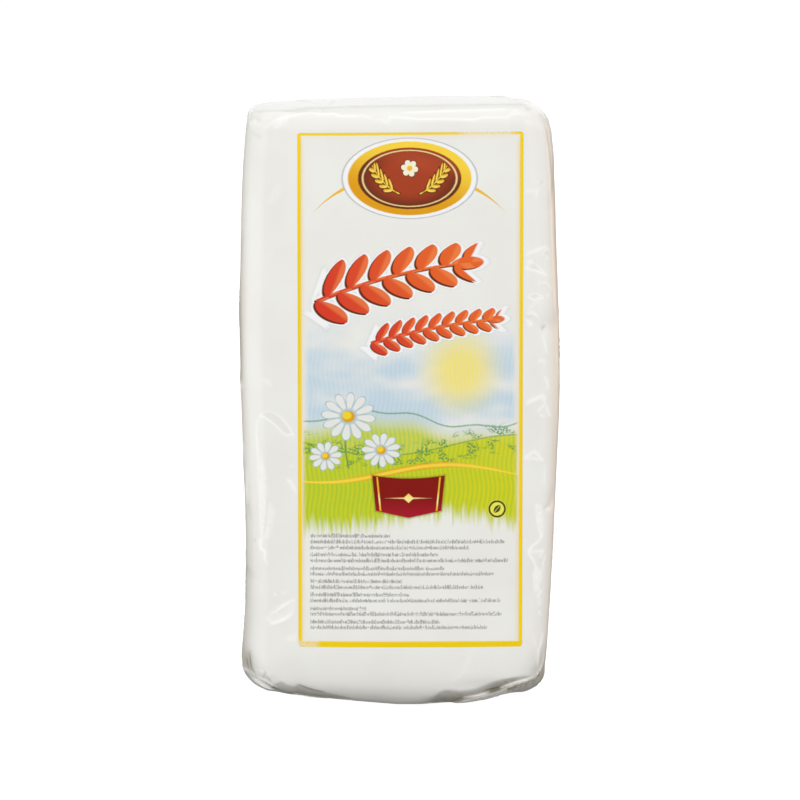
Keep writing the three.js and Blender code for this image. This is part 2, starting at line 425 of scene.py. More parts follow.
def foldAlong(px, pz, path, width):
    # 1 on the sharp crest of a fold along a bent path, fading out at its sides and ends
    nearest, place = pathDistance(px, pz, path)
    crest = np.maximum(0, 1 - nearest / (3 * width)) ** 2 * np.exp(-nearest / width)
    return crest * np.clip(place * (1 - place) * 4, 0, 1) ** 0.5


def nearPath(px, pz, weight, path, reach):
    # the points that count within the box round a path
    xs, zs = zip(*path)
    return ((weight > 0.02) & (px > min(xs) - reach) & (px < max(xs) + reach)
            & (pz > min(zs) - reach) & (pz < max(zs) + reach))


def softSpot(x, z, middle, half):
    # 1 in the middle of an oval spot, fading out round it
    return np.exp(-((x - middle[0]) / half[0]) ** 2 - ((z - middle[1]) / half[1]) ** 2)


# folds of the front film beside the label: path, height, width, in millimetres
frontFolds = [
    ([(-55.5, 119.5), (-56.5, 117.8), (-57, 112.6), (-56.7, 108), (-56.3, 102.6), (-56.5, 96)], 0.16, 0.7),
    ([(-52.6, 87), (-52.9, 80.9), (-53.5, 75.5), (-54.2, 70.3)], -0.12, 0.7),
    ([(-55.8, 70.5), (-55.2, 66), (-53.4, 64.6), (-53.7, 62.4), (-52.6, 59)], 0.2, 1),
    ([(-60.6, 84.8), (-60, 80), (-59.5, 77.7)], -0.1, 0.7),
    ([(-58.3, 69.9), (-57.3, 68.5)], -0.1, 0.7),
    ([(-55.4, 50.5), (-55, 50.2)], 0.2, 0.7),
    ([(-50, 47.6), (-49.4, 47.2)], 0.2, 0.7),
    ([(-47.4, 48), (-44.7, 48.7)], 0.1, 0.7),
    ([(-43.8, 99.7), (-42, 99.1)], 0.1, 0.9),
    ([(-41.4, 45.6), (-46, 43), (-49.8, 40), (-52.4, 39.6)], 0.24, 0.8),
    ([(-53, 38), (-51, 35.3), (-46.6, 36.9), (-44.1, 38.3), (-42.2, 40.8)], 0.22, 0.8),
    ([(-53.5, 233.4), (-51.8, 235.5), (-50, 236.8), (-46.9, 238.4), (-43.8, 238.9), (-38.6, 240),
      (-35.5, 240.3), (-31.1, 239.6), (-26.7, 240.1), (-23.2, 238.8), (-14.4, 239.1), (-12.2, 238.5),
      (-10.5, 237)], 0.22, 0.6),
    ([(-55.3, 239.8), (-49.5, 240.3), (-44.3, 240.1), (-40.8, 240.1)], 0.2, 0.6),
    ([(-59.5, 237.5), (-57.5, 238.8), (-55.7, 237.4), (-54.8, 238.3)], -0.12, 0.6),
    ([(-59, 233), (-56.6, 231.4), (-54, 230.6)], -0.07, 1.0),
    ([(-60, 236.4), (-58.6, 235.8), (-57, 237)], 0.2, 0.7),
    ([(56.1, 241.6), (57.9, 232), (59.1, 226), (60.3, 215), (60.8, 208)], -0.32, 0.7),
    ([(54.5, 211.9), (55.3, 212.5), (56.4, 213.5)], -0.12, 0.6),
    ([(53.8, 211.8), (54.5, 212.5), (55.3, 213.2)], 0.1, 0.7),
    ([(49.1, 209), (51, 209.4), (54.3, 209.6)], 0.12, 0.9),
    ([(54.8, 211.2), (54.2, 209.3), (53.4, 206)], 0.12, 0.7),
    ([(49.4, 183.6), (51.3, 184.9), (53.1, 185.4), (55.6, 186.5), (58.3, 187.4)], 0.22, 0.9),
    ([(56.1, 183.9), (57.2, 185.3), (58.3, 186.2), (59.3, 184.7)], 0.16, 0.6),
    ([(56.9, 184.2), (58.3, 185.2), (59.1, 184.4)], -0.1, 0.6),
    ([(57.7, 182), (58.6, 183.3)], 0.14, 0.7),
    ([(49.6, 180.8), (51.3, 181.1), (52.5, 181.7)], 0.2, 0.9),
    ([(54.1, 172.1), (55.2, 172.8), (57.7, 172.6), (58.9, 171.4), (60.3, 169.4)], 0.14, 0.6),
    ([(55.2, 172), (58, 171.7), (59.1, 171), (59.9, 169.9)], -0.04, 0.6),
    ([(57.7, 167.1), (59.2, 168.5)], 0.14, 0.7),
    ([(50.1, 161.5), (51.8, 163.4), (53.7, 164.8), (55.2, 166)], 0.12, 0.8),
    ([(49.8, 160.3), (52.1, 161.1), (53.2, 160.4), (54.8, 158.8)], 0.24, 0.7),
    ([(49.5, 158.1), (51, 157.3), (51.9, 156.5), (51.2, 155.8), (49.8, 156.4)], 0.22, 0.8),
    ([(49.6, 159.2), (52.2, 159.6)], -0.06, 1.2),
    ([(56, 153.9), (56.8, 155.1), (57.9, 155.5)], -0.3, 0.8),
    ([(56.5, 152.6), (57.3, 148.7), (58.5, 144.2)], 0.16, 0.7),
    ([(54.5, 140.5), (55.4, 141.8), (56.6, 141.9), (57.9, 140.2)], 0.16, 0.7),
    ([(57, 135.8), (58.3, 133.6), (58.7, 129.7)], 0.16, 0.7),
    ([(49.4, 124.2), (52.3, 125.6), (54.7, 126.8), (57.2, 128)], 0.28, 1),
    ([(57.9, 127.6), (57, 126.5), (57.2, 125)], 0.2, 0.7),
    ([(54, 120.8), (55.6, 122.4), (57, 124), (57.9, 125.2)], 0.2, 0.6),
    ([(57.9, 124.4), (58.3, 121.6), (59.9, 118.8)], 0.2, 0.7),
    ([(54.9, 120.3), (57.7, 119)], 0.16, 0.7),
    ([(48.9, 102.3), (51.3, 104), (53.4, 105.2), (55.2, 103.3), (57, 101.3)], 0.26, 0.7),
    ([(48.9, 102.4), (53, 102.5), (55.7, 101.5), (57.2, 102.2)], 0.24, 0.6),
    ([(57.8, 100.3), (57.5, 96.9), (57.4, 90.4)], 0.1, 0.8),
    ([(61, 83.6), (58.4, 82.9), (56.9, 81.8)], -0.18, 1.2),
    ([(59.9, 81.9), (57.9, 80.9)], 0.2, 0.8),
    ([(56.4, 72.4), (56.2, 70.9), (55.8, 69.6), (54.4, 68), (52.6, 66.8), (51.6, 65.3), (51.4, 64),
      (51.9, 62.8), (53, 61.2), (53.8, 59.4), (54.6, 57.4)], 0.3, 0.7),
    ([(51.5, 64.7), (54.2, 64.6), (57.1, 65.1), (56.6, 64), (54.8, 62.5)], 0.26, 0.6),
    ([(55, 62.1), (58.1, 62.3), (57, 60.2), (56.9, 57.9), (56.7, 55.8)], 0.16, 0.6),
    ([(56.7, 49), (54.5, 46.2)], 0.2, 0.7),
    ([(55.4, 46.6), (55.6, 42)], 0.12, 1.2),
    ([(55.1, 40.9), (56.2, 38.4)], 0.2, 0.6),
    ([(56.6, 31.7), (57, 30), (55.4, 24.3), (54.8, 19.4), (55, 16.9)], 0.36, 0.7),
    ([(53, 32), (54.6, 24), (52.8, 17)], 0.08, 0.9),
    ([(-10.5, 237), (-9, 237.7), (-7.4, 237.7), (-5.2, 236.5), (-3.9, 238.5), (0, 238.5), (7.5, 237.8),
      (17.6, 237.9), (28.5, 237.6), (32.5, 238.5), (42.2, 238.4), (43.9, 239.7), (52.3, 240)], 0.24, 0.65),
    ([(0, 240.4), (7.9, 240.6), (17.6, 241.1), (37.3, 241.4), (45.7, 241.6)], 0.22, 0.7),
    ([(44.5, 240.8), (47.6, 242.4)], 0.3, 0.8),
    ([(51, 241), (55, 239)], 0.24, 0.8),
    ([(-61.6, 21.2), (-61, 16.3), (-60.3, 14.3), (-59.2, 12.5)], -0.3, 0.6),
    ([(-60.3, 23.2), (-59.8, 16.4), (-58.5, 13.4), (-57.5, 10.7)], -0.3, 0.6),
    ([(-63.1, 18.9), (-62.3, 16.3), (-61, 14.1)], -0.25, 0.6),
    ([(-54.3, 15.4), (-53.8, 14.2), (-54.5, 12.1), (-55.3, 9.6)], -0.25, 0.5),
    ([(-54.3, 11.7), (-52.7, 11), (-51.3, 9.2)], -0.25, 0.5),
    ([(-40.5, 10.2), (-37.4, 8.6), (-34.2, 7.6), (-29.8, 6.8)], -0.4, 0.6),
    ([(33, 6.8), (38, 7.1), (39.6, 7.6)], -0.5, 0.7),
    ([(20, 11.4), (26, 17), (29, 27)], 0.05, 1.6),
    ([(39.9, 7.2), (43.9, 9), (47.9, 10.8), (53.9, 13.1)], 0.4, 0.6),
    ([(53.9, 13.1), (55.8, 15.5), (57.2, 18.5), (58.3, 24.5)], 0.3, 0.6),
    ([(25.2, 5), (30.8, 5.4), (36, 6.1)], 0.24, 0.6),
]

# folds of the upper end, seen from above: the same, with x and y
topFolds = [
    ([(-26, 4), (-27.7, -8), (-31, -18)], -0.12, 0.8),
    ([(36.4, 12), (38.5, 9), (40.8, 6.5)], -0.4, 0.8),
    ([(44.4, 17), (50, 3), (55.2, -12)], -0.12, 0.8),
    ([(40.8, 6.5), (47, -3), (54, -14)], 0.25, 1.0),
    ([(46, 17), (53, 2), (56, -10)], 0.2, 1.0),
]

# patches of the front film: outline, how deep it is pressed in, how strong the painted highlight along its
# edge is, and how much painted highlight lies inside it, painted shade where this is below nought
frontPatches = [
    ([(-55.5, 119.6), (-54.6, 120.7), (-53.2, 121.4), (-51.4, 121.5), (-49.5, 120.6), (-47.1, 119),
      (-44.1, 115.3), (-42.4, 112.2), (-44.7, 111.8), (-46.3, 112.6), (-49.5, 116), (-53.8, 119.2)],
     0.15, 0.8, -0.08),
    ([(49.4, 178.7), (51.1, 180.3), (52.9, 180.6), (54.5, 179.5), (56.1, 178), (58, 175.9), (55, 177.3),
      (52, 178.2)], 0.15, 0.8, -0.08),
    ([(50.6, 167.3), (51.6, 168.2), (52.7, 168.8), (54.6, 168.4), (56.6, 167), (54.6, 166.7), (53, 166.1)],
     0.12, 0.8, -0.06),
    ([(-44.9, 94), (-43.5, 93.8), (-42.1, 91.8), (-41, 88.8), (-42.7, 90.4)], 0, 0.5, 0.9),
    ([(-54.9, 134.1), (-53.4, 134.5), (-51.8, 133.7), (-50.7, 131.5), (-52.1, 132.5)], 0, 0.3, 0.4),
    ([(-55.1, 105), (-54.1, 100.3), (-53.2, 97), (-52.9, 87.9), (-52.9, 80.9), (-53.9, 70.3), (-55.4, 67),
      (-55.9, 74), (-56.4, 87), (-56.8, 94.7)], 0, 0.1, 0.6),
    ([(-52.3, 84.5), (-50.7, 83.7), (-49.6, 81.2), (-50.7, 74.7), (-52.3, 70), (-53.6, 70.3), (-52.9, 77)],
     0, 0.2, 0.45),
    ([(53.9, 84), (55.9, 83.6), (56.9, 78.3), (56.9, 71.6), (56.2, 70), (55.2, 72.7), (54.4, 77)],
     0, 0.4, 0.9),
    ([(54.1, 58.7), (56, 57.2), (56.5, 53.8), (55.3, 51.3), (55.5, 48.8), (53.7, 48.8), (52.9, 56)],
     0, 0.4, 0.9),
    ([(-53, 205), (-50.3, 211.3), (-47.2, 213.2), (-46, 210), (-49.2, 203.4)], 0, 0, 0.25),
    ([(-49.7, 234.3), (-48.6, 237), (-46.3, 238.7), (-44, 238.9), (-44.4, 237.2), (-48.3, 234.4)],
     0, 0.2, 0.7),
    ([(-41.8, 44.4), (-47.4, 39.8), (-53, 38.2), (-51, 35.3), (-46.6, 36.9), (-42.2, 40.8)], 0, 0.2, 0.35),
    ([(-46.1, 29.8), (-43.9, 30.8), (-41.3, 31.4), (-41.7, 28.6), (-43.9, 28.7)], 0, 0.2, 0.6),
    ([(9, 0.5), (14, 6), (16.4, 8.5), (18.8, 9.1), (23, 8.6), (23.4, 7.9), (28, 7.9), (30.8, 8.3),
      (34.3, 9.5), (37.9, 10.7), (41.1, 11.9), (42.7, 10.6), (41.1, 8.2), (39.9, 7.2), (37.9, 6.6),
      (34.4, 6.3), (30.8, 5.7), (25.2, 4.8), (25.2, 0.5)], 0, 0, -0.26),
    ([(24, 4.6), (30.8, 5.6), (37.9, 6.5), (43.9, 8.6), (43.9, 4), (24, 2)], 0, 0, -0.4),
    ([(41.1, 11.9), (43.5, 12.8), (49.5, 13.5), (54.1, 13.8), (51.1, 12.2), (46.7, 10.4), (43.9, 9.2),
      (41.9, 8.6)], 0, 0, -0.4),
    ([(42.7, 7.6), (47.9, 10.1), (53.9, 12.5), (56.3, 15.7), (57.9, 20.5), (58.4, 26), (62, 26), (62, 12),
      (55, 5), (43, 5)], 0, 0, -1.1),
    ([(-64, 24), (-59.1, 24.3), (-58.6, 17.9), (-57.2, 10.3), (-57.5, 6), (-64, 6)], 0, 0, -0.22),
]

# soft dents of the front: centre, half sizes, depth
frontDents = [
    ((60.5, 155.5), (5, 4), 0.9),
    ((59, 146), (3.5, 8), 0.35),
    ((61, 85), (3, 3), 0.6),
    ((-52, 70), (4, 14), -0.25),
    ((-50, 215), (5, 16), -0.15),
    ((-30, 14), (22, 7), 0.25),
    ((36, 15), (20, 6), 0.2),
    ((54, 30), (5, 16), -0.2),
    ((31, 11.5), (11, 2.2), 0.5),
]

# corners that the film draws out a little: centre, reach, how far
drawnCorners = [
    ((-60.5, 242.5), 3.0, 2.7),
    ((55, 8), 5.5, 0.9),
]

# painted shade, where the film is drawn greyer over a wide area: centre, half sizes, how much
paintedSoftShades = [
    ((-63, 42), (6, 44), 0.34),
    ((0, 0), (400, 12), 0.32),
    ((-63.6, 147), (1.2, 22), 0.7),
    ((32, 10.8), (11, 1.8), 0.25),
    ((-51, 12.5), (2.5, 1.5), 0.15),
    ((-57.5, 226), (4.5, 14), 0.1),
]

# and painted shade round its lower corners: which side, from what height down, how much
paintedCornerShades = [
    (-1, (30, 16), 0.3),
    (1, (32, 18), 0.4),
]

# the film's wide swell and fine crumple, both calmer over the print, and how strong its painted highlights
# and painted shades are
reliefSettings = {
    "seed": 7,
    "wideSwell": 0.35,
    "wideScale": 30,
    "labelSwell": 0.12,
    "labelSides": ((-43, -36), (51, 45)),
    "labelEnds": ((22, 30), (237, 230)),
    "crumple": 0.22,
    "crumpleScale": 9,
    "crumplePatch": 42,
    "crumpleSharpness": 4.5,
    "edgeWidth": 0.4,
    "speckleScale": 1.1,
    "topPaintedLight": 0.45,
    "paintedShadeShare": 0.8,
    "tuckDepth": 5.8,
}

# scattered folds: how many over which rectangle, the longest, and how wide they are drawn, which
# is wider where the film is cut coarser
scatteredFolds = {
    "side": {"count": 34, "low": (-20, 8), "high": (20, 236), "longest": 22, "upright": True, "wide": 1.5},
    "back": {"count": 46, "low": (-58, 8), "high": (58, 236), "longest": 30, "upright": True, "wide": 2.3},
    "base": {"count": 16, "low": (-54, -16), "high": (54, 16), "longest": 22, "upright": False, "wide": 1.2},
    "top": {"count": 5, "low": (-54, -16), "high": (54, 16), "longest": 22, "upright": False, "wide": 1.2},
}


def noiseAt(points, scale, shift):
    offset = Vector(shift)
    return np.array([noise.noise(Vector(point) / scale + offset) for point in points])


def randomFolds(random, area):
    # folds scattered over a rectangle, mostly along its length
    low, high = area["low"], area["high"]
    folds = []
    for _ in range(area["count"]):
        cx = random.uniform(low[0], high[0])
        cz = random.uniform(low[1], high[1])
        length = random.uniform(0.35, 1) * area["longest"]
        angle = random.normal(math.pi / 2 if area["upright"] else 0, 0.55)
        bend = random.uniform(-0.18, 0.18) * length
        dx, dz = math.cos(angle) * length / 2, math.sin(angle) * length / 2
        middle = (cx - dz / length * bend * 2, cz + dx / length * bend * 2)
        # about one in three is a shallow valley
        height = random.uniform(0.1, 0.34) * (1, 1, -0.5)[random.randint(3)]
        path = [(cx - dx, cz - dz), middle, (cx + dx, cz + dz)]
        folds.append((path, height, random.uniform(0.9, 1.8) * area["wide"]))
    return folds


def blankFilm(count):
    # height, painted highlight and painted shade of the film at every point
    return {name: np.zeros(count) for name in ("relief", "painted_highlight", "painted_shade")}


def markFilm(mesh, painted_highlight, painted_shade):
    for name, values in (("painted_highlight", painted_highlight), ("painted_shade", painted_shade)):
        layer = mesh.attributes.new(name, "FLOAT", "POINT")
        layer.data.foreach_set("value", np.clip(values, 0, 1).astype(np.float32))


def addFolds(film, px, pz, weight, folds):
    # painted highlight along the crests, painted shade along the valleys
    for path, height, width in folds:
        near = nearPath(px, pz, weight, path, width * 3)
        if near.any():
            fold = weight[near] * foldAlong(px[near], pz[near], path, width)
            film["relief"][near] += height * fold
            if height > 0:
                film["painted_highlight"][near] += min(1.4, height / 0.2) * fold
            else:
                film["painted_shade"][near] += min(1, -height / 0.5) * fold


def filmRelief(points, normals):
    # how far the film stands out from the smooth brick, in millimetres, and how it is creased
    settings = reliefSettings
    film = blankFilm(len(points))
    x, y, z = points.T
    front = smoothStep(0.15, 0.6, -normals[:, 1])
    back = smoothStep(0.3, 0.8, normals[:, 1])
    side = smoothStep(0.4, 0.85, np.abs(normals[:, 0]))
    end = smoothStep(0.5, 0.9, np.abs(normals[:, 2]))
    facing = smoothStep(0, 0.35, -normals[:, 1])
    onLabel = front.copy()
    for limits, value in ((settings["labelSides"], x), (settings["labelEnds"], z)):
        for low, high in limits:
            onLabel *= smoothStep(low, high, value)
    wide = noiseAt(points, settings["wideScale"], (3.1, 7.7, 1.3))
    swell = settings["wideSwell"] + (settings["labelSwell"] - settings["wideSwell"]) * onLabel
    film["relief"] += swell * wide
    # sharp crests where the noise crosses zero, in patches
    fine = noiseAt(points, settings["crumpleScale"], (9.2, 4.4, 8.1))
    patch = smoothStep(-0.1, 0.35, noiseAt(points, settings["crumplePatch"], (1.7, 2.9, 5.3)))
    crest = np.maximum(0, 1 - np.abs(fine) * settings["crumpleSharpness"]) ** 2
    calm = (1 - onLabel) * (1 - 0.75 * front) * (1 - 0.85 * smoothStep(0.2, 0.7, normals[:, 2]))
    film["relief"] += settings["crumple"] * crest * patch * calm
    random = np.random.RandomState(settings["seed"])
    addFolds(film, x, z, front, frontFolds)
    addFolds(film, x, y, end * (normals[:, 2] > 0), topFolds)
    for outline, depth, edge, tone in frontPatches:
        near = nearPath(x, z, facing, outline, 4)
        distance = signedDistance(x[near], z[near], outline)
        film["relief"][near] -= front[near] * depth * smoothStep(0.5, -0.7, distance)
        # a painted highlight along the patch's edge
        film["painted_highlight"][near] += facing[near] * edge * np.exp(-(distance / settings["edgeWidth"]) ** 2)
        speckle = 0.75 + 0.6 * noiseAt(points[near], settings["speckleScale"], (2.2, 6.1, 3.4))
        shade = "painted_highlight" if tone > 0 else "painted_shade"
        # the painted highlight inside a patch, painted shade below nought, fades where the film turns to the
        # side
        fading = facing[near] * (0.35 + 0.65 * smoothStep(0.2, 0.7, -normals[near, 1]))
        film[shade][near] += fading * abs(tone) * speckle * smoothStep(0.3, -0.9, distance)
    for middle, half, depth in frontDents:
        film["relief"] -= depth * softSpot(x, z, middle, half) * front
    # painted shade over wide soft spots and round the lower corners
    for middle, half, amount in paintedSoftShades:
        film["painted_shade"] += amount * softSpot(x, z, middle, half) * smoothStep(3, -13, y)
    for sign, (high, low), amount in paintedCornerShades:
        sideways = smoothStep(0.45, 0.85, sign * normals[:, 0])
        film["painted_shade"] += amount * sideways * smoothStep(high, low, z) * smoothStep(8, -12, y)
    # painted light: faces that look up are painted whiter, and so are the folded sheets over the top
    film["painted_highlight"] += settings["topPaintedLight"] * smoothStep(0.5, 0.85, normals[:, 2])
    for middle, reach, height in drawnCorners:
        film["relief"] += height * softSpot(x, z, middle, (reach, reach)) * (y < 4)
    for sign in (-1, 1):
        addFolds(film, y, z, side * (x * sign > 0), randomFolds(random, scatteredFolds["side"]))
    addFolds(film, x, z, back, randomFolds(random, scatteredFolds["back"]))
    for sign, name in ((-1, "base"), (1, "top")):
        folds = randomFolds(random, scatteredFolds[name])
        addFolds(film, x, y, end * (normals[:, 2] * sign > 0), folds)
    return film


# where the front film is folded in at the foot: the fold's line, the line of the lip under it,
# how deep the film goes in between them, how far the lip comes back out, how it begins and ends
footTucks = [
    {"fold": [(-52, 5), (-50.7, 8.6), (-47.2, 11.3), (-44.9, 10), (-42.3, 9.4), (-40.5, 10.7), (-36, 8.9),
              (-32, 7.6), (-27.5, 6.5), (-18, 4)],
     "lip": [(-52, 0.5), (-18, 0.5)], "depth": 4.2, "back": 0, "start": 0.75, "ease": 3, "fade": 3},
    {"fold": [(4, 3), (13.2, 6), (16.4, 8.2), (18.8, 8.9), (23.2, 8.5), (27.2, 8.6), (30.8, 9.2),
              (34.3, 10.4), (37.9, 11.9), (41.9, 12.8), (45.9, 13.4), (57, 14.2)],
     "lip": [(4, 1), (19, 1.5), (25.2, 4.4), (30.8, 5.5), (34.4, 6.1), (37.9, 6.5), (39.9, 7.1),
             (43.9, 8.9), (47.9, 10.7), (57, 14)],
     "depth": 3.8, "back": 0.8, "start": 0.9, "ease": 15, "fade": 12},
]

# between its corners the foot's front eases back: how far, at what height and over what height
footEase = {"depth": 1.4, "middle": 2, "reach": 15}

# how far the corners of the foot stand upright before the film turns under: where they begin, the
# radius that this straightens and the most that it moves; then where the foot is drawn up: middle,
# half width, height; then the ear of the left corner: where it starts, the depth of its flat front,
# the radius of its bend, how much it rises as it is pulled there and where it begins and ends
footCorners = {
    "left": (-38, -50),
    "right": (12, 26),
    "radius": 9.5,
    "most": 5.5,
    "drawn": [(-54, 6.5, 2.3), (46, 13, 2.0)],
    "earStart": -50,
    "earFront": -21,
    "earRadius": 12,
    "earRise": 0.22,
    "earInner": (-47.5, -52),
    "earOuter": (-62.5, -59),
    "earHead": (12, 6),
}


def footShift(points, normals):
    # how far the film moves back into the pack towards its foot, and at the folds there
    x, y, z = points.T
    front = smoothStep(0.05, 0.3, -normals[:, 1])
    ease = footEase["depth"] * np.exp(-((z - footEase["middle"]) / footEase["reach"]) ** 2)
    shift = np.zeros_like(x)
    for tuck in footTucks:
        foldX, foldZ = zip(*tuck["fold"])
        lipX, lipZ = zip(*tuck["lip"])
        fold = np.interp(x, foldX, foldZ)
        lip = np.interp(x, lipX, lipZ)
        span = np.maximum(fold - lip, 0.3)
        t = np.clip((fold - z) / span, 0, 1) ** tuck["start"]
        within = smoothStep(foldX[0], foldX[0] + tuck["ease"], x)
        within *= smoothStep(foldX[-1], foldX[-1] - tuck["fade"], x)
        depth = tuck["depth"] * np.minimum(1, span / 5)
        out = 1 - tuck["back"] * (1 - smoothStep(lip - 0.9, lip, z))
        shift += depth * t * within * out
    corners = footCorners
    outer = smoothStep(*corners["left"], x) + smoothStep(*corners["right"], x)
    local = z - footLift(x, y, 0)
    radius = corners["radius"]
    rise = radius - np.clip(local, 0.7, radius)
    upright = outer * np.minimum(corners["most"], radius - np.sqrt(radius**2 - rise**2))
    drawn = np.zeros_like(x)
    for middle, reach, height in corners["drawn"]:
        drawn += height * np.exp(-((x - middle) / reach) ** 2)
    drawn *= smoothStep(13, 2, local) * smoothStep(8, -8, y)
    moved = (ease * (1 - outer) + shift - upright) * front
    across = np.clip(corners["earStart"] - x, 0, corners["earRadius"] - 0.5)
    flat = corners["earFront"] + corners["earRadius"] - np.sqrt(corners["earRadius"]**2 - across**2)
    ear = smoothStep(*corners["earInner"], x) * smoothStep(*corners["earOuter"], x)
    ear *= smoothStep(*corners["earHead"], local)
    pulled = ear * smoothStep(0.12, 0.4, -normals[:, 1]) * np.minimum(0, flat - y - moved)
    drawn -= pulled * corners["earRise"]
    return moved + pulled, shift * front, drawn


def creaseWrap(wrap):
    points = readVectors(wrap.data, "co") / mm
    normals = readVectors(wrap.data, "normal")
    film = filmRelief(points, normals)
    # the pack still stands flat on its foot
    relief = film["relief"] * smoothStep(0.5, 3.5, points[:, 2])
    moved = points + normals * relief[:, None]
    shift, tucked, drawn = footShift(points, normals)
    moved[:, 1] += shift
    moved[:, 2] += drawn
    writePoints(wrap.data, moved * mm)
    # painted shade: the film's painted shades, and more where the foot is tucked in deeper
    painted_shade = film["painted_shade"] * reliefSettings["paintedShadeShare"] + tucked / reliefSettings["tuckDepth"]
    markFilm(wrap.data, film["painted_highlight"], painted_shade)
    print("film creased, most", round(float(np.abs(relief).max()), 2), "mm")


def ink(red, green, blue):
    # a printed colour, from screen values to the light values that shaders take
    light = []
    for value in (red, green, blue):
        share = value / 255
        light.append(share / 12.92 if share <= 0.04045 else ((share + 0.055) / 1.055) ** 2.4)
    return (*light, 1)


class Wire:
    # a number or a colour on its way through a material's nodes
    def __init__(self, bench, socket):
        self.bench = bench
        self.socket = socket

    def __add__(self, other):
        return self.bench.math("ADD", self, other)

    __radd__ = __add__

    def __sub__(self, other):
        return self.bench.math("SUBTRACT", self, other)

    def __rsub__(self, other):
        return self.bench.math("SUBTRACT", other, self)

    def __mul__(self, other):
        return self.bench.math("MULTIPLY", self, other)

    __rmul__ = __mul__

    def __truediv__(self, other):
        return self.bench.math("DIVIDE", self, other)

    def __pow__(self, other):
        return self.bench.math("POWER", self, other)

    def __neg__(self):
        return self.bench.math("MULTIPLY", self, -1)

    def __abs__(self):
        return self.bench.math("ABSOLUTE", self)


class NodeBench:
    # the node tree of one material, the colour painted so far and the ways this script adds to them
    def __init__(self, tree):
        self.tree = tree
        self.colour = None

    def node(self, kind, settings=None, sockets=None):
        made = self.tree.nodes.new(kind)
        for name, value in (settings or {}).items():
            setattr(made, name, value)
        for name, value in (sockets or {}).items():
            if isinstance(value, Wire):
                self.tree.links.new(value.socket, made.inputs[name])
            else:
                made.inputs[name].default_value = value
        return made

    def wire(self, kind, settings=None, sockets=None, output=0):
        # what comes out of a new node
        return Wire(self, self.node(kind, settings, sockets).outputs[output])

    def math(self, operation, *values):
        return self.wire("ShaderNodeMath", {"operation": operation}, dict(enumerate(values)))

    def smallest(self, found, *others):
        for other in others:
            found = self.math("MINIMUM", found, other)
        return found

    def largest(self, found, *others):
        for other in others:
            found = self.math("MAXIMUM", found, other)
        return found

    def sine(self, value):
        return self.math("SINE", value)

    def ramp(self, value, low, high):
        # from 0 at low to 1 at high, smooth at both ends
        return self.wire("ShaderNodeMapRange", {"interpolation_type": "SMOOTHSTEP"},
                         {"Value": value, "From Min": low, "From Max": high})

    def inside(self, distance, soft=0.2):
        return self.ramp(distance, soft, -soft)

    def mix(self, under, over, mask):
        return self.wire("ShaderNodeMix", {"data_type": "RGBA"}, {0: mask, 6: under, 7: over}, 2)

    def lay(self, over, mask):
        # paints a colour over what is there, as strongly as the mask says
        self.colour = self.mix(self.colour, over, mask)

    def fill(self, over, distance, soft=0.2):
        # paints the inside of a shape
        self.lay(over, self.inside(distance, soft))

    def noise(self, x, z, scaleX, scaleZ, detail=2.0, y=0.0):
        place = self.wire("ShaderNodeCombineXYZ", None, {0: x * scaleX, 1: y, 2: z * scaleZ})
        return self.noiseOf(place, 1.0, detail)

    def noiseOf(self, place, scale, detail):
        return self.wire("ShaderNodeTexNoise", None, {"Vector": place, "Scale": scale, "Detail": detail})

    def length(self, x, z):
        return self.math("SQRT", x * x + z * z)

    def ellipse(self, x, z, radiusX, radiusZ):
        # about the distance to an ellipse round the middle, negative inside
        return (self.length(x / radiusX, z / radiusZ) - 1) * min(radiusX, radiusZ)


# the printed label, in millimetres on the front of the pack
label = {
    "frameMiddle": (4.1, 129.7),
    "frameHalf": (44.6, 103.4),
    "frameCorner": 1.3,
    "frameSideLine": 1.4,
    "frameHeadLine": 1.1,
    "frameFootLine": 2.3,
    "headLean": 0.0068,
    "leanMiddle": 48.0,
    "worn": 0.72,
    "badgeMiddle": (3.8, 214.6),
    "badgeHalf": (24.4, 14.6),
    "ribbonMiddle": 96.5,
    "sunPlace": (24.0, 138.0),
    "markPlace": (38.6, 82.2),
    "pennantPlace": (3.4, 87.0),
    "yellow": ink(243, 209, 0),
    "paleYellow": ink(242, 222, 120),
    "peach": ink(240, 222, 190),
    "white": ink(246, 247, 248),
    "outlineGrey": ink(186, 188, 192),
    "gold": ink(240, 190, 36),
    "deepGold": ink(226, 160, 22),
    "brown": ink(104, 46, 26),
    "redBrown": ink(168, 66, 36),
    "red": ink(214, 48, 40),
    "orange": ink(236, 108, 44),
    "shadow": ink(96, 44, 14),
    "sky": ink(192, 214, 228),
    "sun": ink(246, 229, 128),
    "leafGreen": ink(166, 200, 52),
    "limeYellow": ink(220, 214, 30),
    "darkGreen": ink(92, 150, 78),
    "greyBlue": ink(158, 190, 194),
    "pennant": ink(134, 20, 12),
    "pennantBright": ink(166, 22, 40),
    "olive": ink(66, 66, 22),
    "textGrey": ink(104, 104, 103),
    "halo": ink(236, 237, 246),
    "brightGold": ink(250, 216, 70),
    "paleGold": ink(252, 236, 150),
    "rimGold": ink(250, 214, 66),
    "cream": ink(246, 226, 160),
    "wheat": ink(250, 222, 96),
    "petal": ink(233, 234, 231),
    "petalCream": ink(248, 240, 214),
    "flowerHeart": ink(246, 214, 52),
    "leafOrange": ink(246, 150, 84),
    "woodShine": ink(196, 84, 50),
    "darkBrown": ink(60, 26, 12),
    "pennantEdge": ink(120, 140, 40),
    "pennantRule": ink(240, 214, 150),
    "markYellow": ink(238, 232, 90),
}

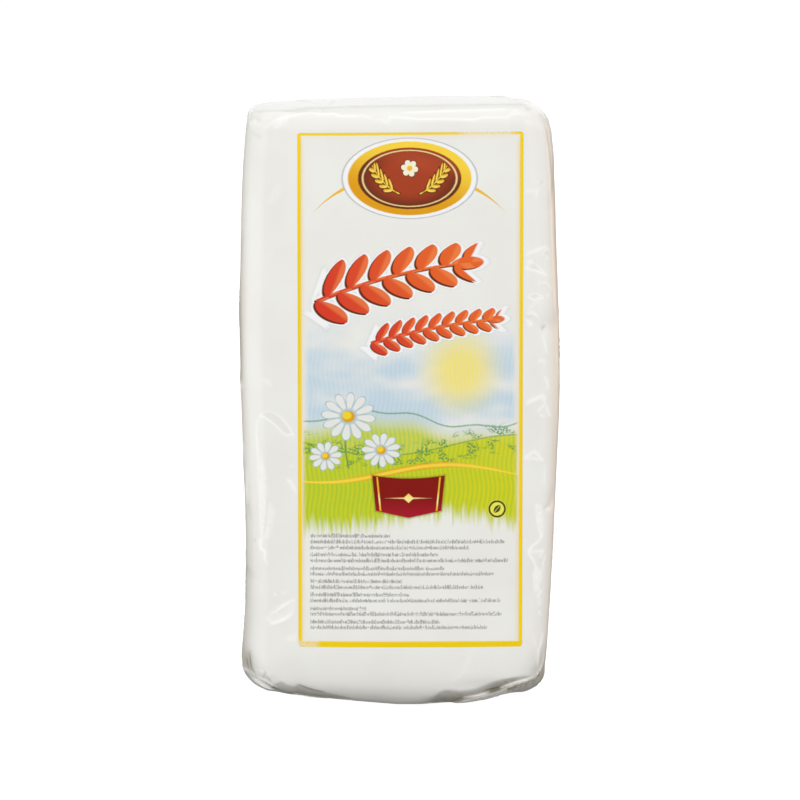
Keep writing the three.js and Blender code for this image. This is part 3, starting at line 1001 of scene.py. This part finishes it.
# rows of small print: height of the row's middle and where it ends on the right
smallPrintRows = [
    (71.7, -4.0), (69.3, 41.6), (66.9, 27.4), (64.1, 15.1), (61.7, 42.9), (58.5, 17.6), (56.3, 37.3),
    (53.3, 0.8), (50.9, 33.1), (47.9, 3.6), (45.5, 39.9), (42.3, -13.5), (40.1, 40.5), (36.9, 15.9),
    (34.7, 34.7),
]

# leafy sprigs of the title: foot, rise in degrees, length, leaf reach at foot and tip, leaf pitch
titleSprigs = [
    {"foot": (-33.0, 165.6), "rise": 14.5, "length": 62.0, "reach": (13.2, 8.2), "pitch": 9.6, "bow": 2.4},
    {"foot": (-11.0, 149.0), "rise": 11.0, "length": 50.0, "reach": (6.4, 4.6), "pitch": 5.4, "bow": 1.4},
]

# white flowers of the picture: middle, radius, petals, turn
flowers = [
    ((-29.5, 103.5), 6.4, 10, 0.5),
    ((-20.5, 119.5), 10.6, 12, 0.1),
    ((-7.5, 106.0), 7.6, 11, 0.9),
]


def headLean(x):
    # the frame's head leans a little, level at leanMiddle
    return (x - label["leanMiddle"]) * label["headLean"]


def frameDistance(bench, x, z):
    # negative inside the frame
    z = z - headLean(x) * bench.ramp(z, 40, 230)
    middle = label["frameMiddle"]
    half = label["frameHalf"]
    corner = label["frameCorner"]
    across = abs(x - middle[0]) - (half[0] - corner)
    up = abs(z - middle[1]) - (half[1] - corner)
    outside = bench.length(bench.largest(across, 0.0), bench.largest(up, 0.0))
    return outside + bench.smallest(bench.largest(across, up), 0.0) - corner


def turned(x, z, middle, degrees):
    # the same place measured along and across a tilted line through middle
    along = math.cos(math.radians(degrees))
    rise = math.sin(math.radians(degrees))
    return ((x - middle[0]) * along + (z - middle[1]) * rise,
            (z - middle[1]) * along - (x - middle[0]) * rise)


def paintFrame(bench, x, z, distance, speckle):
    glow = bench.ramp(distance, -3.6, -1.2) * bench.inside(distance, 0.3)
    bench.lay(label["peach"], glow * (0.75 - 0.5 * bench.ramp(z, 228, 231)))
    middle = label["frameMiddle"]
    half = label["frameHalf"]
    across = bench.inside(half[0] - label["frameSideLine"] - abs(x - middle[0]), 0.45)
    foot = bench.inside(z - (middle[1] - half[1] + label["frameFootLine"]), 0.3)
    lean = headLean(x)
    head = bench.inside(middle[1] + half[1] - label["frameHeadLine"] - z + lean, 0.3)
    line = bench.inside(distance, 0.22) * bench.largest(across, foot, head)
    # worn away at the right of the head and at the left of the foot
    wornTop = bench.ramp(z, 230, 231.5) * bench.ramp(x, 21, 27) * bench.ramp(x, 47, 42)
    wornFoot = bench.ramp(z, 29.5, 28) * bench.ramp(x, -31, -35)
    worn = bench.largest(wornTop, wornFoot) * (0.4 + 0.6 * bench.ramp(speckle, 0.42, 0.56))
    pale = head * bench.inside(across, 0.5) * 0.4
    yellow = bench.mix(label["yellow"], label["paleYellow"], pale)
    halo = bench.inside(distance - 0.75, 0.35)
    bench.lay(label["halo"], halo * bench.inside(-distance, 0.3) * 0.8)
    bench.lay(yellow, line * (1 - worn * label["worn"]))


def paintSky(bench, x, z, distance, stripes):
    clouds = bench.noise(x, z, 0.035, 0.07, 2.0, 4.0)
    height = bench.ramp(z, 166, 136) * bench.ramp(z, 106, 122)
    within = bench.inside(distance + 3.2, 1.8)
    blue = height * within * bench.ramp(clouds, 0.25, 0.62) * (0.82 + 0.18 * stripes)
    bench.lay(label["sky"], blue)
    sunX, sunZ = label["sunPlace"]
    reach = bench.length(x - sunX, (z - sunZ) * 0.9)
    glow = bench.ramp(reach, 20, 4) * (0.85 + 0.15 * stripes)
    bench.lay(label["sun"], glow * within)


def ribbonHeight(bench, x):
    return label["ribbonMiddle"] + 3.6 * bench.sine((x + 6.0) * 0.062)


def paintHills(bench, x, z, distance, stripes):
    within = bench.inside(distance + 2.2, 0.9) * bench.inside(ribbonHeight(bench, x) - z, 0.3)
    sketch = bench.noise(x, z, 1.1, 1.3, 3.0, 7.0)
    patches = bench.noise(x, z, 0.11, 0.3, 2.0, 2.0)
    far = 118.6 + 3.4 * bench.sine(x * 0.075 + 2.4) + 0.9 * bench.sine(x * 0.26)
    near = 108.0 + 4.2 * bench.sine(x * 0.058 + 5.1)
    haze = bench.ramp(z - far, 0.4, -9.0)
    lime = stripes * 0.55 + patches * 0.3 + bench.ramp(x, -10, 40) * 0.22
    green = bench.mix(label["leafGreen"], label["limeYellow"], lime)
    bench.lay(green, haze * within * 0.92)
    nearField = bench.inside(z - near, 0.25) * within
    bench.lay(green, nearField * 0.9)
    thick = 0.12 + 0.55 * sketch
    farLine = bench.inside(abs(z - far) - thick * 0.75, 0.3)
    nearLine = bench.inside(abs(z - near) - thick * 0.6, 0.3)
    lines = bench.largest(farLine, nearLine) * within
    bench.lay(label["darkGreen"], lines * 0.75)
    # rows of bushes, drawn as small broken strokes
    clumps = bench.noise(x, z, 0.16, 0.24, 1.0, 11.0)
    zone = bench.inside(z - near - 4.2, 1.5) * bench.ramp(z - near, -9.0, -5.0)
    bushes = bench.ramp(clumps, 0.5, 0.57) * bench.ramp(sketch, 0.46, 0.53) * zone * within
    bench.lay(label["darkGreen"], bushes * 0.85)
    return green


def paintField(bench, x, z, distance, green, feather):
    # the green below the ribbon, its foot feathered into strokes
    ribbon = ribbonHeight(bench, x)
    foot = 78.0 + 3.0 * bench.sine(x * 0.07 + 0.4) + (feather - 0.5) * 15.0
    within = bench.inside(distance + 1.6, 0.9)
    field = bench.inside(z - ribbon, 0.3) * bench.ramp(z - foot, -5.0, 4.0) * within
    bench.lay(green, field)
    half = 0.25 + 0.95 * bench.ramp(abs(x - 2.0), 46, 6)
    band = bench.inside(abs(z - ribbon) - half, 0.25) * within
    gold = bench.mix(label["deepGold"], label["brightGold"], bench.ramp(abs(z - ribbon), 1.2, 0.2))
    bench.lay(gold, band)


def paintFlower(bench, x, z, middle, radius, petals, turn):
    across = x - middle[0]
    up = (z - middle[1]) * 1.12
    reach = bench.length(across, up)
    angle = bench.math("ARCTAN2", up, across)
    wave = abs(bench.math("COSINE", (angle + turn) * (petals / 2)))
    edge = radius * (0.5 + 0.5 * wave ** 0.55)
    bench.fill(label["greyBlue"], reach - edge - 0.45, 0.3)
    bench.fill(label["petal"], reach - edge, 0.25)
    veins = bench.ramp(wave, 0.55, 0.2) * bench.ramp(reach, radius * 0.2, radius * 0.34)
    shade = bench.largest(veins, bench.ramp(reach, radius * 0.42, radius * 0.26))
    bench.lay(label["greyBlue"], shade * bench.inside(reach - edge, 0.25) * 0.8)
    bench.fill(label["deepGold"], reach - radius * 0.24, 0.3)
    heart = bench.length(across + radius * 0.05, up - radius * 0.05)
    bench.fill(label["flowerHeart"], heart - radius * 0.17, 0.4)


def paintFlowers(bench, x, z):
    for middle, radius, petals, turn in flowers:
        bow = (z - middle[1] + 10.0) * (z - middle[1] + 10.0) * 0.012
        stem = abs(x - middle[0] + 1.2 - bow) - 0.38
        below = bench.inside(z - middle[1], 0.3) * bench.inside(98.5 - z, 0.6)
        bench.lay(label["darkGreen"], bench.inside(stem, 0.2) * below * 0.8)
    for middle, radius, petals, turn in flowers:
        paintFlower(bench, x, z, middle, radius, petals, turn)


def leafRow(bench, slanted, side, reach, pitch, bow, width):
    # about the distance to a row of leaves that stand side by side, and the place across one of them
    cell = bench.math("FLOORED_MODULO", slanted, pitch) - pitch / 2
    height = side / reach
    full = bench.largest(height * (1 - height), 0.0) * 4
    return abs(cell) - full ** bow * (pitch * width), cell


def sprigDistance(bench, x, z, sprig):
    # about the distance to a stem with slanting leaves on both sides, negative inside
    along, across = turned(x, z, sprig["foot"], sprig["rise"])
    share = along / sprig["length"]
    across = across - sprig["bow"] * 4 * share * (1 - share)
    side = abs(across)
    reach = sprig["reach"][0] + (sprig["reach"][1] - sprig["reach"][0]) * share
    slanted = along - side * 0.75 + bench.math("LESS_THAN", across, 0.0) * (sprig["pitch"] / 2)
    leaf, cell = leafRow(bench, slanted, side, reach, sprig["pitch"], 0.7, 0.41)
    ends = bench.largest(-slanted, slanted - sprig["length"])
    leaf = bench.largest(leaf * 0.8, ends * 0.4, (side - reach) * 1.4)
    stem = bench.largest(side - 0.45 - 0.35 * (1 - share), -along, along - sprig["length"])
    tip = bench.ellipse(along - sprig["length"], across, sprig["pitch"] * 0.62, sprig["pitch"] * 0.26)
    return bench.smallest(leaf, stem, tip), cell, share


def paintSprig(bench, x, z, sprig):
    drop = sprig["pitch"] * 0.085
    front, cell, share = sprigDistance(bench, x, z, sprig)
    behind, _, _ = sprigDistance(bench, x + drop, z + drop * 0.7, sprig)
    both = bench.smallest(front, behind)
    bench.lay(label["outlineGrey"], bench.inside(both - 1.15, 0.35) * 0.22)
    bench.fill(label["white"], both - 0.85, 0.25)
    bench.fill(label["shadow"], behind)
    warm = bench.mix(label["red"], label["orange"], bench.ramp(share, -0.1, 1.0) * 0.75 + 0.12)
    warm = bench.mix(warm, label["leafOrange"], bench.ramp(cell, 0.1, sprig["pitch"] * 0.2) * 0.45)
    bench.fill(warm, front)


def paintBadge(bench, x, z):
    # an oval plaque with a gold rim, two ears of wheat and a plain flower
    middle = label["badgeMiddle"]
    halfX, halfZ = label["badgeHalf"]
    across = x - middle[0]
    up = z - middle[1]
    side = abs(across)
    # tapered strokes left and right
    run = side - (halfX - 0.6)
    strokeZ = -3.2 - 0.42 * run - 0.0215 * run * run
    share = bench.largest(1 - run / 14.6, 0.0)
    stroke = bench.inside(abs(up - strokeZ) - 0.85 * share, 0.2) * bench.inside(run - 14.6, 0.2)
    bench.lay(label["gold"], stroke * bench.inside(-run, 0.2))
    oval = bench.ellipse(across, up, halfX, halfZ)
    bench.fill(label["outlineGrey"], oval - 1.5, 0.22)
    bench.fill(label["white"], oval - 1.15)
    shine = bench.ramp(up + across * 0.25, -9, 12)
    rim = bench.mix(label["deepGold"], label["rimGold"], shine)
    bench.fill(rim, oval)
    wood = bench.mix(label["brown"], label["redBrown"], bench.ramp(oval, -2.2, -9.5))
    wood = bench.mix(wood, label["woodShine"], bench.ramp(up + across * 0.2, 1, 9) * 0.5)
    bench.fill(wood, oval + 2.4, 0.18)
    cream = bench.inside(abs(oval + 3.5) - 0.22, 0.16)
    bench.lay(label["cream"], cream * 0.9)
    # ears of wheat, mirrored left and right
    along, sideways = turned(side, up, (3.6, -5.4), 24)
    sideways = sideways - 0.028 * along * along + 0.8
    wide = abs(sideways)
    slanted = along - wide * 1.05
    grain, cell = leafRow(bench, slanted, wide, 2.7, 2.3, 0.6, 0.4)
    ends = bench.largest(2.5 - slanted, slanted - 13.6)
    grain = bench.largest(grain, ends, wide - 2.7)
    straw = bench.largest(wide - 0.24, -along, along - 14.5)
    ear = bench.smallest(grain * 0.75, straw)
    bench.lay(label["darkBrown"], bench.inside(ear - 0.3, 0.2) * bench.inside(oval + 4.4, 0.2))
    golden = bench.mix(label["wheat"], label["deepGold"], bench.ramp(cell, -0.5, 0.9))
    bench.lay(golden, bench.inside(ear, 0.16) * bench.inside(oval + 4.4, 0.2))
    # the flower above them
    reach = bench.length(across, up - 4.0)
    angle = bench.math("ARCTAN2", up - 4.0, across)
    petal = 3.4 * (0.6 + 0.4 * abs(bench.math("COSINE", angle * 3.0 + 0.5)) ** 0.6)
    bench.fill(label["darkBrown"], reach - petal - 0.3)
    bench.fill(label["petalCream"], reach - petal, 0.18)
    bench.fill(label["gold"], reach - 1.05)


def paintPennant(bench, x, z):
    # a plain dark red pennant that hangs from the ribbon
    middle = label["pennantPlace"]
    across = abs(x - middle[0])
    up = z - middle[1]
    sides = across - (13.6 + 0.1 * up)
    foot = -8.4 + 0.22 * across - up
    top = up - 7.6 - 0.006 * across * across
    shape = bench.largest(sides, foot, top)
    bench.lay(label["pennantEdge"], bench.inside(shape - 0.5, 0.5) * 0.5)
    red = bench.mix(label["pennantBright"], label["pennant"], bench.ramp(up, -8, 1))
    bench.fill(red, shape)
    sideLine = bench.inside(abs(sides + 1.9) - 0.32, 0.16) * bench.inside(shape + 0.4, 0.2)
    gold = bench.mix(label["gold"], label["paleGold"], bench.ramp(abs(up + 1.0), 4, 0))
    bench.lay(gold, sideLine)
    rule = bench.inside(abs(up + 0.4) - 0.3 * bench.ramp(across, 9.5, 1.0), 0.14)
    rule = rule * bench.inside(across - 9.4, 0.3)
    bench.lay(label["pennantRule"], rule)
    lozenge = across * 0.9 + abs(up + 0.4) - 1.9
    bench.fill(gold, lozenge)


def paintMark(bench, x, z):
    # a small plain ring with a leaf in it
    middle = label["markPlace"]
    across = x - middle[0]
    up = z - middle[1]
    reach = bench.length(across, up)
    bench.fill(label["markYellow"], reach - 3.7, 0.25)
    bench.fill(label["olive"], abs(reach - 3.1) - 0.38, 0.18)
    along, sideways = turned(x, z, middle, 52)
    leaf = abs(sideways) - 1.15 * (1 - along * along / 4.4)
    leaf = bench.largest(leaf, abs(along) - 2.2)
    vein = bench.inside(-(abs(sideways) - 0.12), 0.12)
    bench.lay(label["olive"], bench.inside(leaf, 0.2) * vein)


def paintSmallPrint(bench, x, z):
    # rows of small grey strokes, too small to read as words
    # here and there a stroke stands taller than the rest
    tall = bench.ramp(bench.noise(x, z, 1.5, 0.09, 0.0, 41.0), 0.52, 0.6)
    level = z - tall * 0.24 + 0.5
    half = 0.5 + tall * 0.36
    rows = None
    for middle, end in smallPrintRows:
        row = bench.inside(abs(level - middle) - half, 0.26) * bench.ramp(x, end + 0.3, end - 0.3)
        rows = row if rows is None else rows + row
    starts = bench.ramp(x, -36.0, -35.5)
    words = bench.ramp(bench.noise(x, z, 0.46, 0.9, 0.0, 21.0), 0.27, 0.31)
    strokes = bench.noise(x, z, 2.6, 0.5, 1.0, 31.0)
    letters = 0.3 + 0.7 * bench.ramp(strokes, 0.38, 0.6)
    bench.lay(label["textGrey"], rows * starts * words * letters * 0.66)


def paintLabel(bench, x, z, onFront):
    film = bench.colour
    ragged = bench.noise(x, z, 0.9, 0.9, 2.0, 1.0) - 0.5
    x = x + ragged * 0.22
    z = z - ragged * 0.22
    distance = frameDistance(bench, x, z)
    speckle = bench.noise(x, z, 1.3, 1.3, 3.0, 15.0)
    feather = bench.noise(x, z, 0.75, 0.045, 2.0, 9.0)
    bend = 0.55 * bench.sine(z * 0.33)
    stripes = 0.5 + 0.5 * bench.sine((x + bend) * (2 * math.pi / 1.8))
    paintSky(bench, x, z, distance, stripes)
    green = paintHills(bench, x, z, distance, stripes)
    paintFlowers(bench, x, z)
    paintField(bench, x, z, distance, green, feather)
    paintPennant(bench, x, z)
    paintMark(bench, x, z)
    paintSmallPrint(bench, x, z)
    for sprig in titleSprigs:
        paintSprig(bench, x, z, sprig)
    paintBadge(bench, x, z)
    paintFrame(bench, x, z, distance, speckle)
    bench.colour = bench.mix(film, bench.colour, onFront)


# the film itself: whites, its painted highlight and painted shade, warm tints, gloss and the finest
# unevenness
filmLook = {
    "bright": ink(240, 240, 236),
    "dull": ink(237, 236, 231),
    "painted_highlight": ink(253, 253, 250),
    "painted_shade": ink(138, 133, 118),
    "warmSide": ink(228, 210, 192),
    "warmEdge": ink(222, 196, 174),
    "roughness": 0.17,
    "roughnessSwing": 0.06,
    "specular": 0.35,
    "grain": 0.00006,
    "grainStrength": 0.35,
    "cloudScale": 0.045,
    "grainScale": 0.55,
    "warmSideShare": 0.5,
    "warmEdgeShare": 0.65,
}


def makeFilm(name, printed):
    film = bpy.data.materials.new(name)
    film.use_nodes = True
    bench = NodeBench(film.node_tree)
    shader = film.node_tree.nodes["Principled BSDF"]
    where = bench.wire("ShaderNodeTexCoord", output="Object")
    place = bench.wire("ShaderNodeVectorMath", {"operation": "SCALE"}, {0: where, "Scale": 1 / mm})
    split = bench.node("ShaderNodeSeparateXYZ", None, {0: place})
    x, y, z = (Wire(bench, split.outputs[axis]) for axis in range(3))
    cloud = bench.noiseOf(place, filmLook["cloudScale"], 3.0)
    grain = bench.noiseOf(place, filmLook["grainScale"], 3.0)
    bench.colour = bench.mix(filmLook["dull"], filmLook["bright"], bench.ramp(cloud, 0.3, 0.7))
    # a warm tint painted round both sides, and beyond a slanting line at the upper right
    beyond = bench.ramp(x - 56.6 - (240.0 - z) * 0.14, 0.0, 0.8) * bench.ramp(z, 196, 206)
    warmTint = bench.largest(bench.ramp(x, 57.0, 63.0), beyond * 0.6,
                              bench.ramp(x, -59.5, -64.0) * 0.9)
    bench.lay(filmLook["warmSide"], warmTint * filmLook["warmSideShare"])
    # a warmer tint painted near the right edge, less towards the back
    edge = bench.ramp(y, -18.5, -14.0) * bench.ramp(y, 21, 6) * bench.ramp(x, 50, 60)
    edge = edge * bench.ramp(z, 14, 50) * bench.ramp(z, 232, 200)
    behind = bench.ramp(y, -13.0, -5.0)
    edge = edge * (1.0 - behind * (0.55 + 0.35 * bench.ramp(cloud, 0.42, 0.58)))
    bench.lay(filmLook["warmEdge"], edge * filmLook["warmEdgeShare"])
    # painted shade and painted highlight: grey in the valleys, the tucks and the shaded corners, white along
    # the crests and over the top
    for shade in ("painted_shade", "painted_highlight"):
        mask = bench.wire("ShaderNodeAttribute", {"attribute_name": shade}, output="Fac")
        bench.lay(filmLook[shade], mask)
    if printed:
        paintLabel(bench, x, z, bench.ramp(y, -12.0, -15.0))
    rough = filmLook["roughness"] + filmLook["roughnessSwing"] * bench.ramp(cloud, 0.35, 0.65)
    bump = bench.wire("ShaderNodeBump", None, {"Strength": filmLook["grainStrength"],
                                               "Distance": filmLook["grain"], "Height": grain})
    for socket, wire in (("Base Color", bench.colour), ("Roughness", rough), ("Normal", bump)):
        film.node_tree.links.new(wire.socket, shader.inputs[socket])
    shader.inputs["Specular IOR Level"].default_value = filmLook["specular"]
    print("material", name, len(film.node_tree.nodes), "nodes")
    return film


# the folded sheets of film, in millimetres, and how finely they are cut
sheetLook = {
    "thickness": 0.28,
    "columns": 96,
    "rows": 44,
    "seamColumns": 220,
    "seamRows": 22,
}

# the folded ends of the film: up or down, how far off the wrap each sheet lies, the depth of its
# rooted edge and of its free one, from where to where each runs, and how far the free one stands off
flaps = {
    "top_back_flap": {"up": 1, "lift": 0.3, "rooted": 19.5, "free": -6.0,
                      "root": (-45, 44), "tip": (-31, 34), "wave": 0.03},
    "top_front_flap": {"up": 1, "lift": 0.6, "rooted": -19.5, "free": 17.5,
                       "root": (-45, 50), "tip": (-25, 39), "wave": 0.05},
    "base_back_flap": {"up": -1, "lift": 0.4, "rooted": 17.5, "free": -4.0,
                       "root": (-38, 42), "tip": (-28, 30), "wave": 0.0},
    "base_front_flap": {"up": -1, "lift": 0.78, "rooted": -5, "free": 13.5,
                        "root": (-43, 40), "tip": (-30, 34), "wave": 0.0},
}

# the lap down the back: its rooted and free edge, from what height to what it runs, how far off the
# wrap it lies, and how far its free edge is pressed down again
backSeam = {"rooted": -12, "free": 14, "foot": 9, "head": 234, "lift": 0.5, "pressed": 0.2}


def makeSheet(name, columns, rows, place, folds, white):
    # a thin sheet over the wrap, place(u, v) gives each point in millimetres
    clearSelection()
    bpy.ops.mesh.primitive_grid_add(x_subdivisions=columns, y_subdivisions=rows, size=2)
    sheet = bpy.context.object
    sheet.name = name
    flat = readVectors(sheet.data, "co")
    points = np.array([place(u, v) for u, v, _ in flat])
    film = blankFilm(len(points))
    addFolds(film, points[:, 0], points[:, 1], np.ones(len(points)), folds)
    points[:, 2] += film["relief"]
    writePoints(sheet.data, points * mm)
    # painted highlight along the sheet's crests, painted shade in its valleys
    markFilm(sheet.data, film["painted_highlight"] + white, film["painted_shade"])
    wall = sheet.modifiers.new("wall", "SOLIDIFY")
    wall.thickness = sheetLook["thickness"] * mm
    wall.offset = -1
    bpy.ops.object.modifier_apply(modifier="wall")
    bpy.ops.object.shade_smooth_by_angle(angle=math.radians(50))
    return sheet


def makeFlap(name, wrap):
    flap = flaps[name]
    up = flap["up"]
    turn = 1 if flap["free"] > flap["rooted"] else -1

    def place(u, v):
        # v runs from the rooted edge to the free one, u along them
        share = (v * turn * up + 1) / 2 if up > 0 else (1 - v * turn) / 2
        left = flap["root"][0] + (flap["tip"][0] - flap["root"][0]) * share
        right = flap["root"][1] + (flap["tip"][1] - flap["root"][1]) * share
        ripple = 0.5 * math.sin(u * 9 + flap["lift"] * 7) + 0.3 * math.sin(u * 23)
        x = left + (right - left) * (u + 1) / 2 + 0.35 * math.sin(share * 11) * abs(u) ** 6
        y = flap["rooted"] + (flap["free"] - flap["rooted"]) * share + ripple * share ** 4 * turn
        found, hit, _, _ = wrap.ray_cast((x * mm, y * mm, 0.12 + up * 0.2), (0, 0, -up))
        surface = hit.z / mm
        buried = max(0, 1 - share / 0.12)
        edge = max(abs(u) ** 8, share ** 10)
        # the left edge is pressed down, the right one stands off a little
        pressed = 1 - 0.8 * max(0, -u) ** 6
        lift = flap["lift"] * (1 - buried) * pressed - 0.35 * buried + flap["wave"] * edge * (1 + u)
        z = surface + up * lift
        return x, y, max(z, 0.02) if up < 0 else z

    # the top flaps take the crests' painted highlight and the top's painted light
    folds, white = (topFolds, reliefSettings["topPaintedLight"]) if up > 0 else ([], 0)
    return makeSheet(name, sheetLook["columns"], sheetLook["rows"], place, folds, white)


def makeSeam(wrap):
    seam = backSeam

    def place(u, v):
        # u runs up the pack, v from the rooted edge to the free one
        share = (v + 1) / 2
        z = seam["foot"] + (seam["head"] - seam["foot"]) * (u + 1) / 2
        edge = seam["free"] + 0.5 * math.sin(z * 0.07) + 0.2 * math.sin(z * 0.41)
        x = seam["rooted"] + (edge - seam["rooted"]) * share
        found, hit, _, _ = wrap.ray_cast((x * mm, 0.08, z * mm), (0, -1, 0))
        buried = max(0, 1 - share / 0.15)
        buried = max(buried, max(0, abs(u) - 0.985) / 0.015)
        uneven = 0.4 + 0.3 * math.sin(z * 0.13) + 0.3 * math.sin(z * 0.31)
        lift = seam["lift"] * (1 - buried) - 0.4 * buried - seam["pressed"] * share ** 7 * uneven
        return x, hit.y / mm + lift, z

    return makeSheet("back_seam", sheetLook["seamColumns"], sheetLook["seamRows"], place, [], 0)


def makeCamera():
    tilt = math.radians(cameraSettings["elevation"])
    distance = cameraSettings["distance"]
    place = (0, -distance * math.cos(tilt), cameraSettings["aim"] + distance * math.sin(tilt))
    bpy.ops.object.camera_add(location=place, rotation=(math.pi / 2 - tilt, 0, 0))
    camera = bpy.context.object
    camera.data.lens = cameraSettings["lens"]
    camera.data.sensor_width = 36
    camera.data.clip_end = 20
    bpy.context.scene.camera = camera


# softboxes: place, size, power in watts, colour; and the room round them
studio = {
    "left_panel": ((-1.35, -1.06, 0.44), (3.0, 2.4), 31.1, (1, 0.998, 0.99)),
    "right_panel": ((1.35, -1.06, 0.44), (3.0, 2.4), 28.8, (1, 0.993, 0.98)),
    "top_softbox": ((0.0, -0.2, 1.6), (2.2, 1.4), 8.4, (1, 1, 1)),
    "low_fill": ((-1.2, -0.8, -0.7), (1.2, 0.8), 3, (1, 1, 0.98)),
    "warm_side": ((1.5, 0.6, 0.3), (0.5, 1.0), 4, (1, 0.72, 0.5)),
    "back_softbox": ((-0.1, 1.7, 0.8), (2.0, 1.4), 8.5, (1, 1, 1)),
}

room = {
    "floorGlow": 0.95,
    "floorColour": (0.3, 0.3, 0.3, 1),
    "below": 0.17,
    "above": 0.2,
    "light": (1, 0.998, 0.99, 1),
}


def addSoftbox(name, place, size, power, colour):
    direction = Vector((0, 0, 0.12)) - Vector(place)
    turn = direction.to_track_quat("-Z", "Y").to_euler()
    bpy.ops.object.light_add(type="AREA", location=place, rotation=turn)
    lamp = bpy.context.object
    lamp.name = name
    lamp.data.shape = "RECTANGLE"
    lamp.data.size, lamp.data.size_y = size
    lamp.data.energy = power
    lamp.data.color = colour


def makeFloor():
    clearSelection()
    bpy.ops.mesh.primitive_plane_add(size=1)
    floor = bpy.context.object
    floor.name = "studio_floor"
    floor.scale = (12, 12, 1)
    bpy.ops.object.transform_apply(location=True, rotation=True, scale=True)
    # the white ground is seen, but lights nothing and shades nothing
    floor.visible_diffuse = False
    floor.visible_glossy = False
    floor.visible_shadow = False
    pale = bpy.data.materials.new("pale_floor")
    pale.use_nodes = True
    shader = pale.node_tree.nodes["Principled BSDF"]
    for socket, value in (("Base Color", room["floorColour"]), ("Roughness", 1),
                          ("Specular IOR Level", 0), ("Emission Color", (1, 1, 1, 1)),
                          ("Emission Strength", room["floorGlow"])):
        shader.inputs[socket].default_value = value
    floor.data.materials.append(pale)


def makeRoom():
    # an even pale room, darker below, and plain white where the camera looks past the floor
    world = bpy.data.worlds.new("studio")
    bpy.context.scene.world = world
    world.use_nodes = True
    world.node_tree.nodes.clear()
    bench = NodeBench(world.node_tree)
    where = bench.wire("ShaderNodeTexCoord", output="Generated")
    up = bench.wire("ShaderNodeSeparateXYZ", None, {0: where}, 2)
    strength = room["below"] + (room["above"] - room["below"]) * bench.ramp(up, -0.45, 0.3)
    pale = bench.wire("ShaderNodeBackground", None, {"Color": room["light"], "Strength": strength})
    white = bench.wire("ShaderNodeBackground", None, {"Strength": 1.0})
    seen = bench.wire("ShaderNodeLightPath", output="Is Camera Ray")
    pick = bench.wire("ShaderNodeMixShader", None, {0: seen, 1: pale, 2: white})
    bench.node("ShaderNodeOutputWorld", None, {"Surface": pick})


def makeStudio():
    makeFloor()
    for name, settings in studio.items():
        addSoftbox(name, *settings)
    makeRoom()
    bpy.context.scene.view_settings.view_transform = "Standard"
    print("studio ready")


makeCamera()
makeStudio()

wrap = makeWrap()
creaseWrap(wrap)
printedFilm = makeFilm("printed_film", True)
plainFilm = makeFilm("plain_film", False)
wrap.data.materials.append(printedFilm)

sheets = [makeFlap(name, wrap) for name in flaps]
sheets.append(makeSeam(wrap))
for sheet in sheets:
    sheet.data.materials.append(plainFilm)
print("sheets laid on the wrap:", len(sheets))

for piece in [wrap, *sheets]:
    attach(piece, "root")
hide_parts("wrapped_brick")
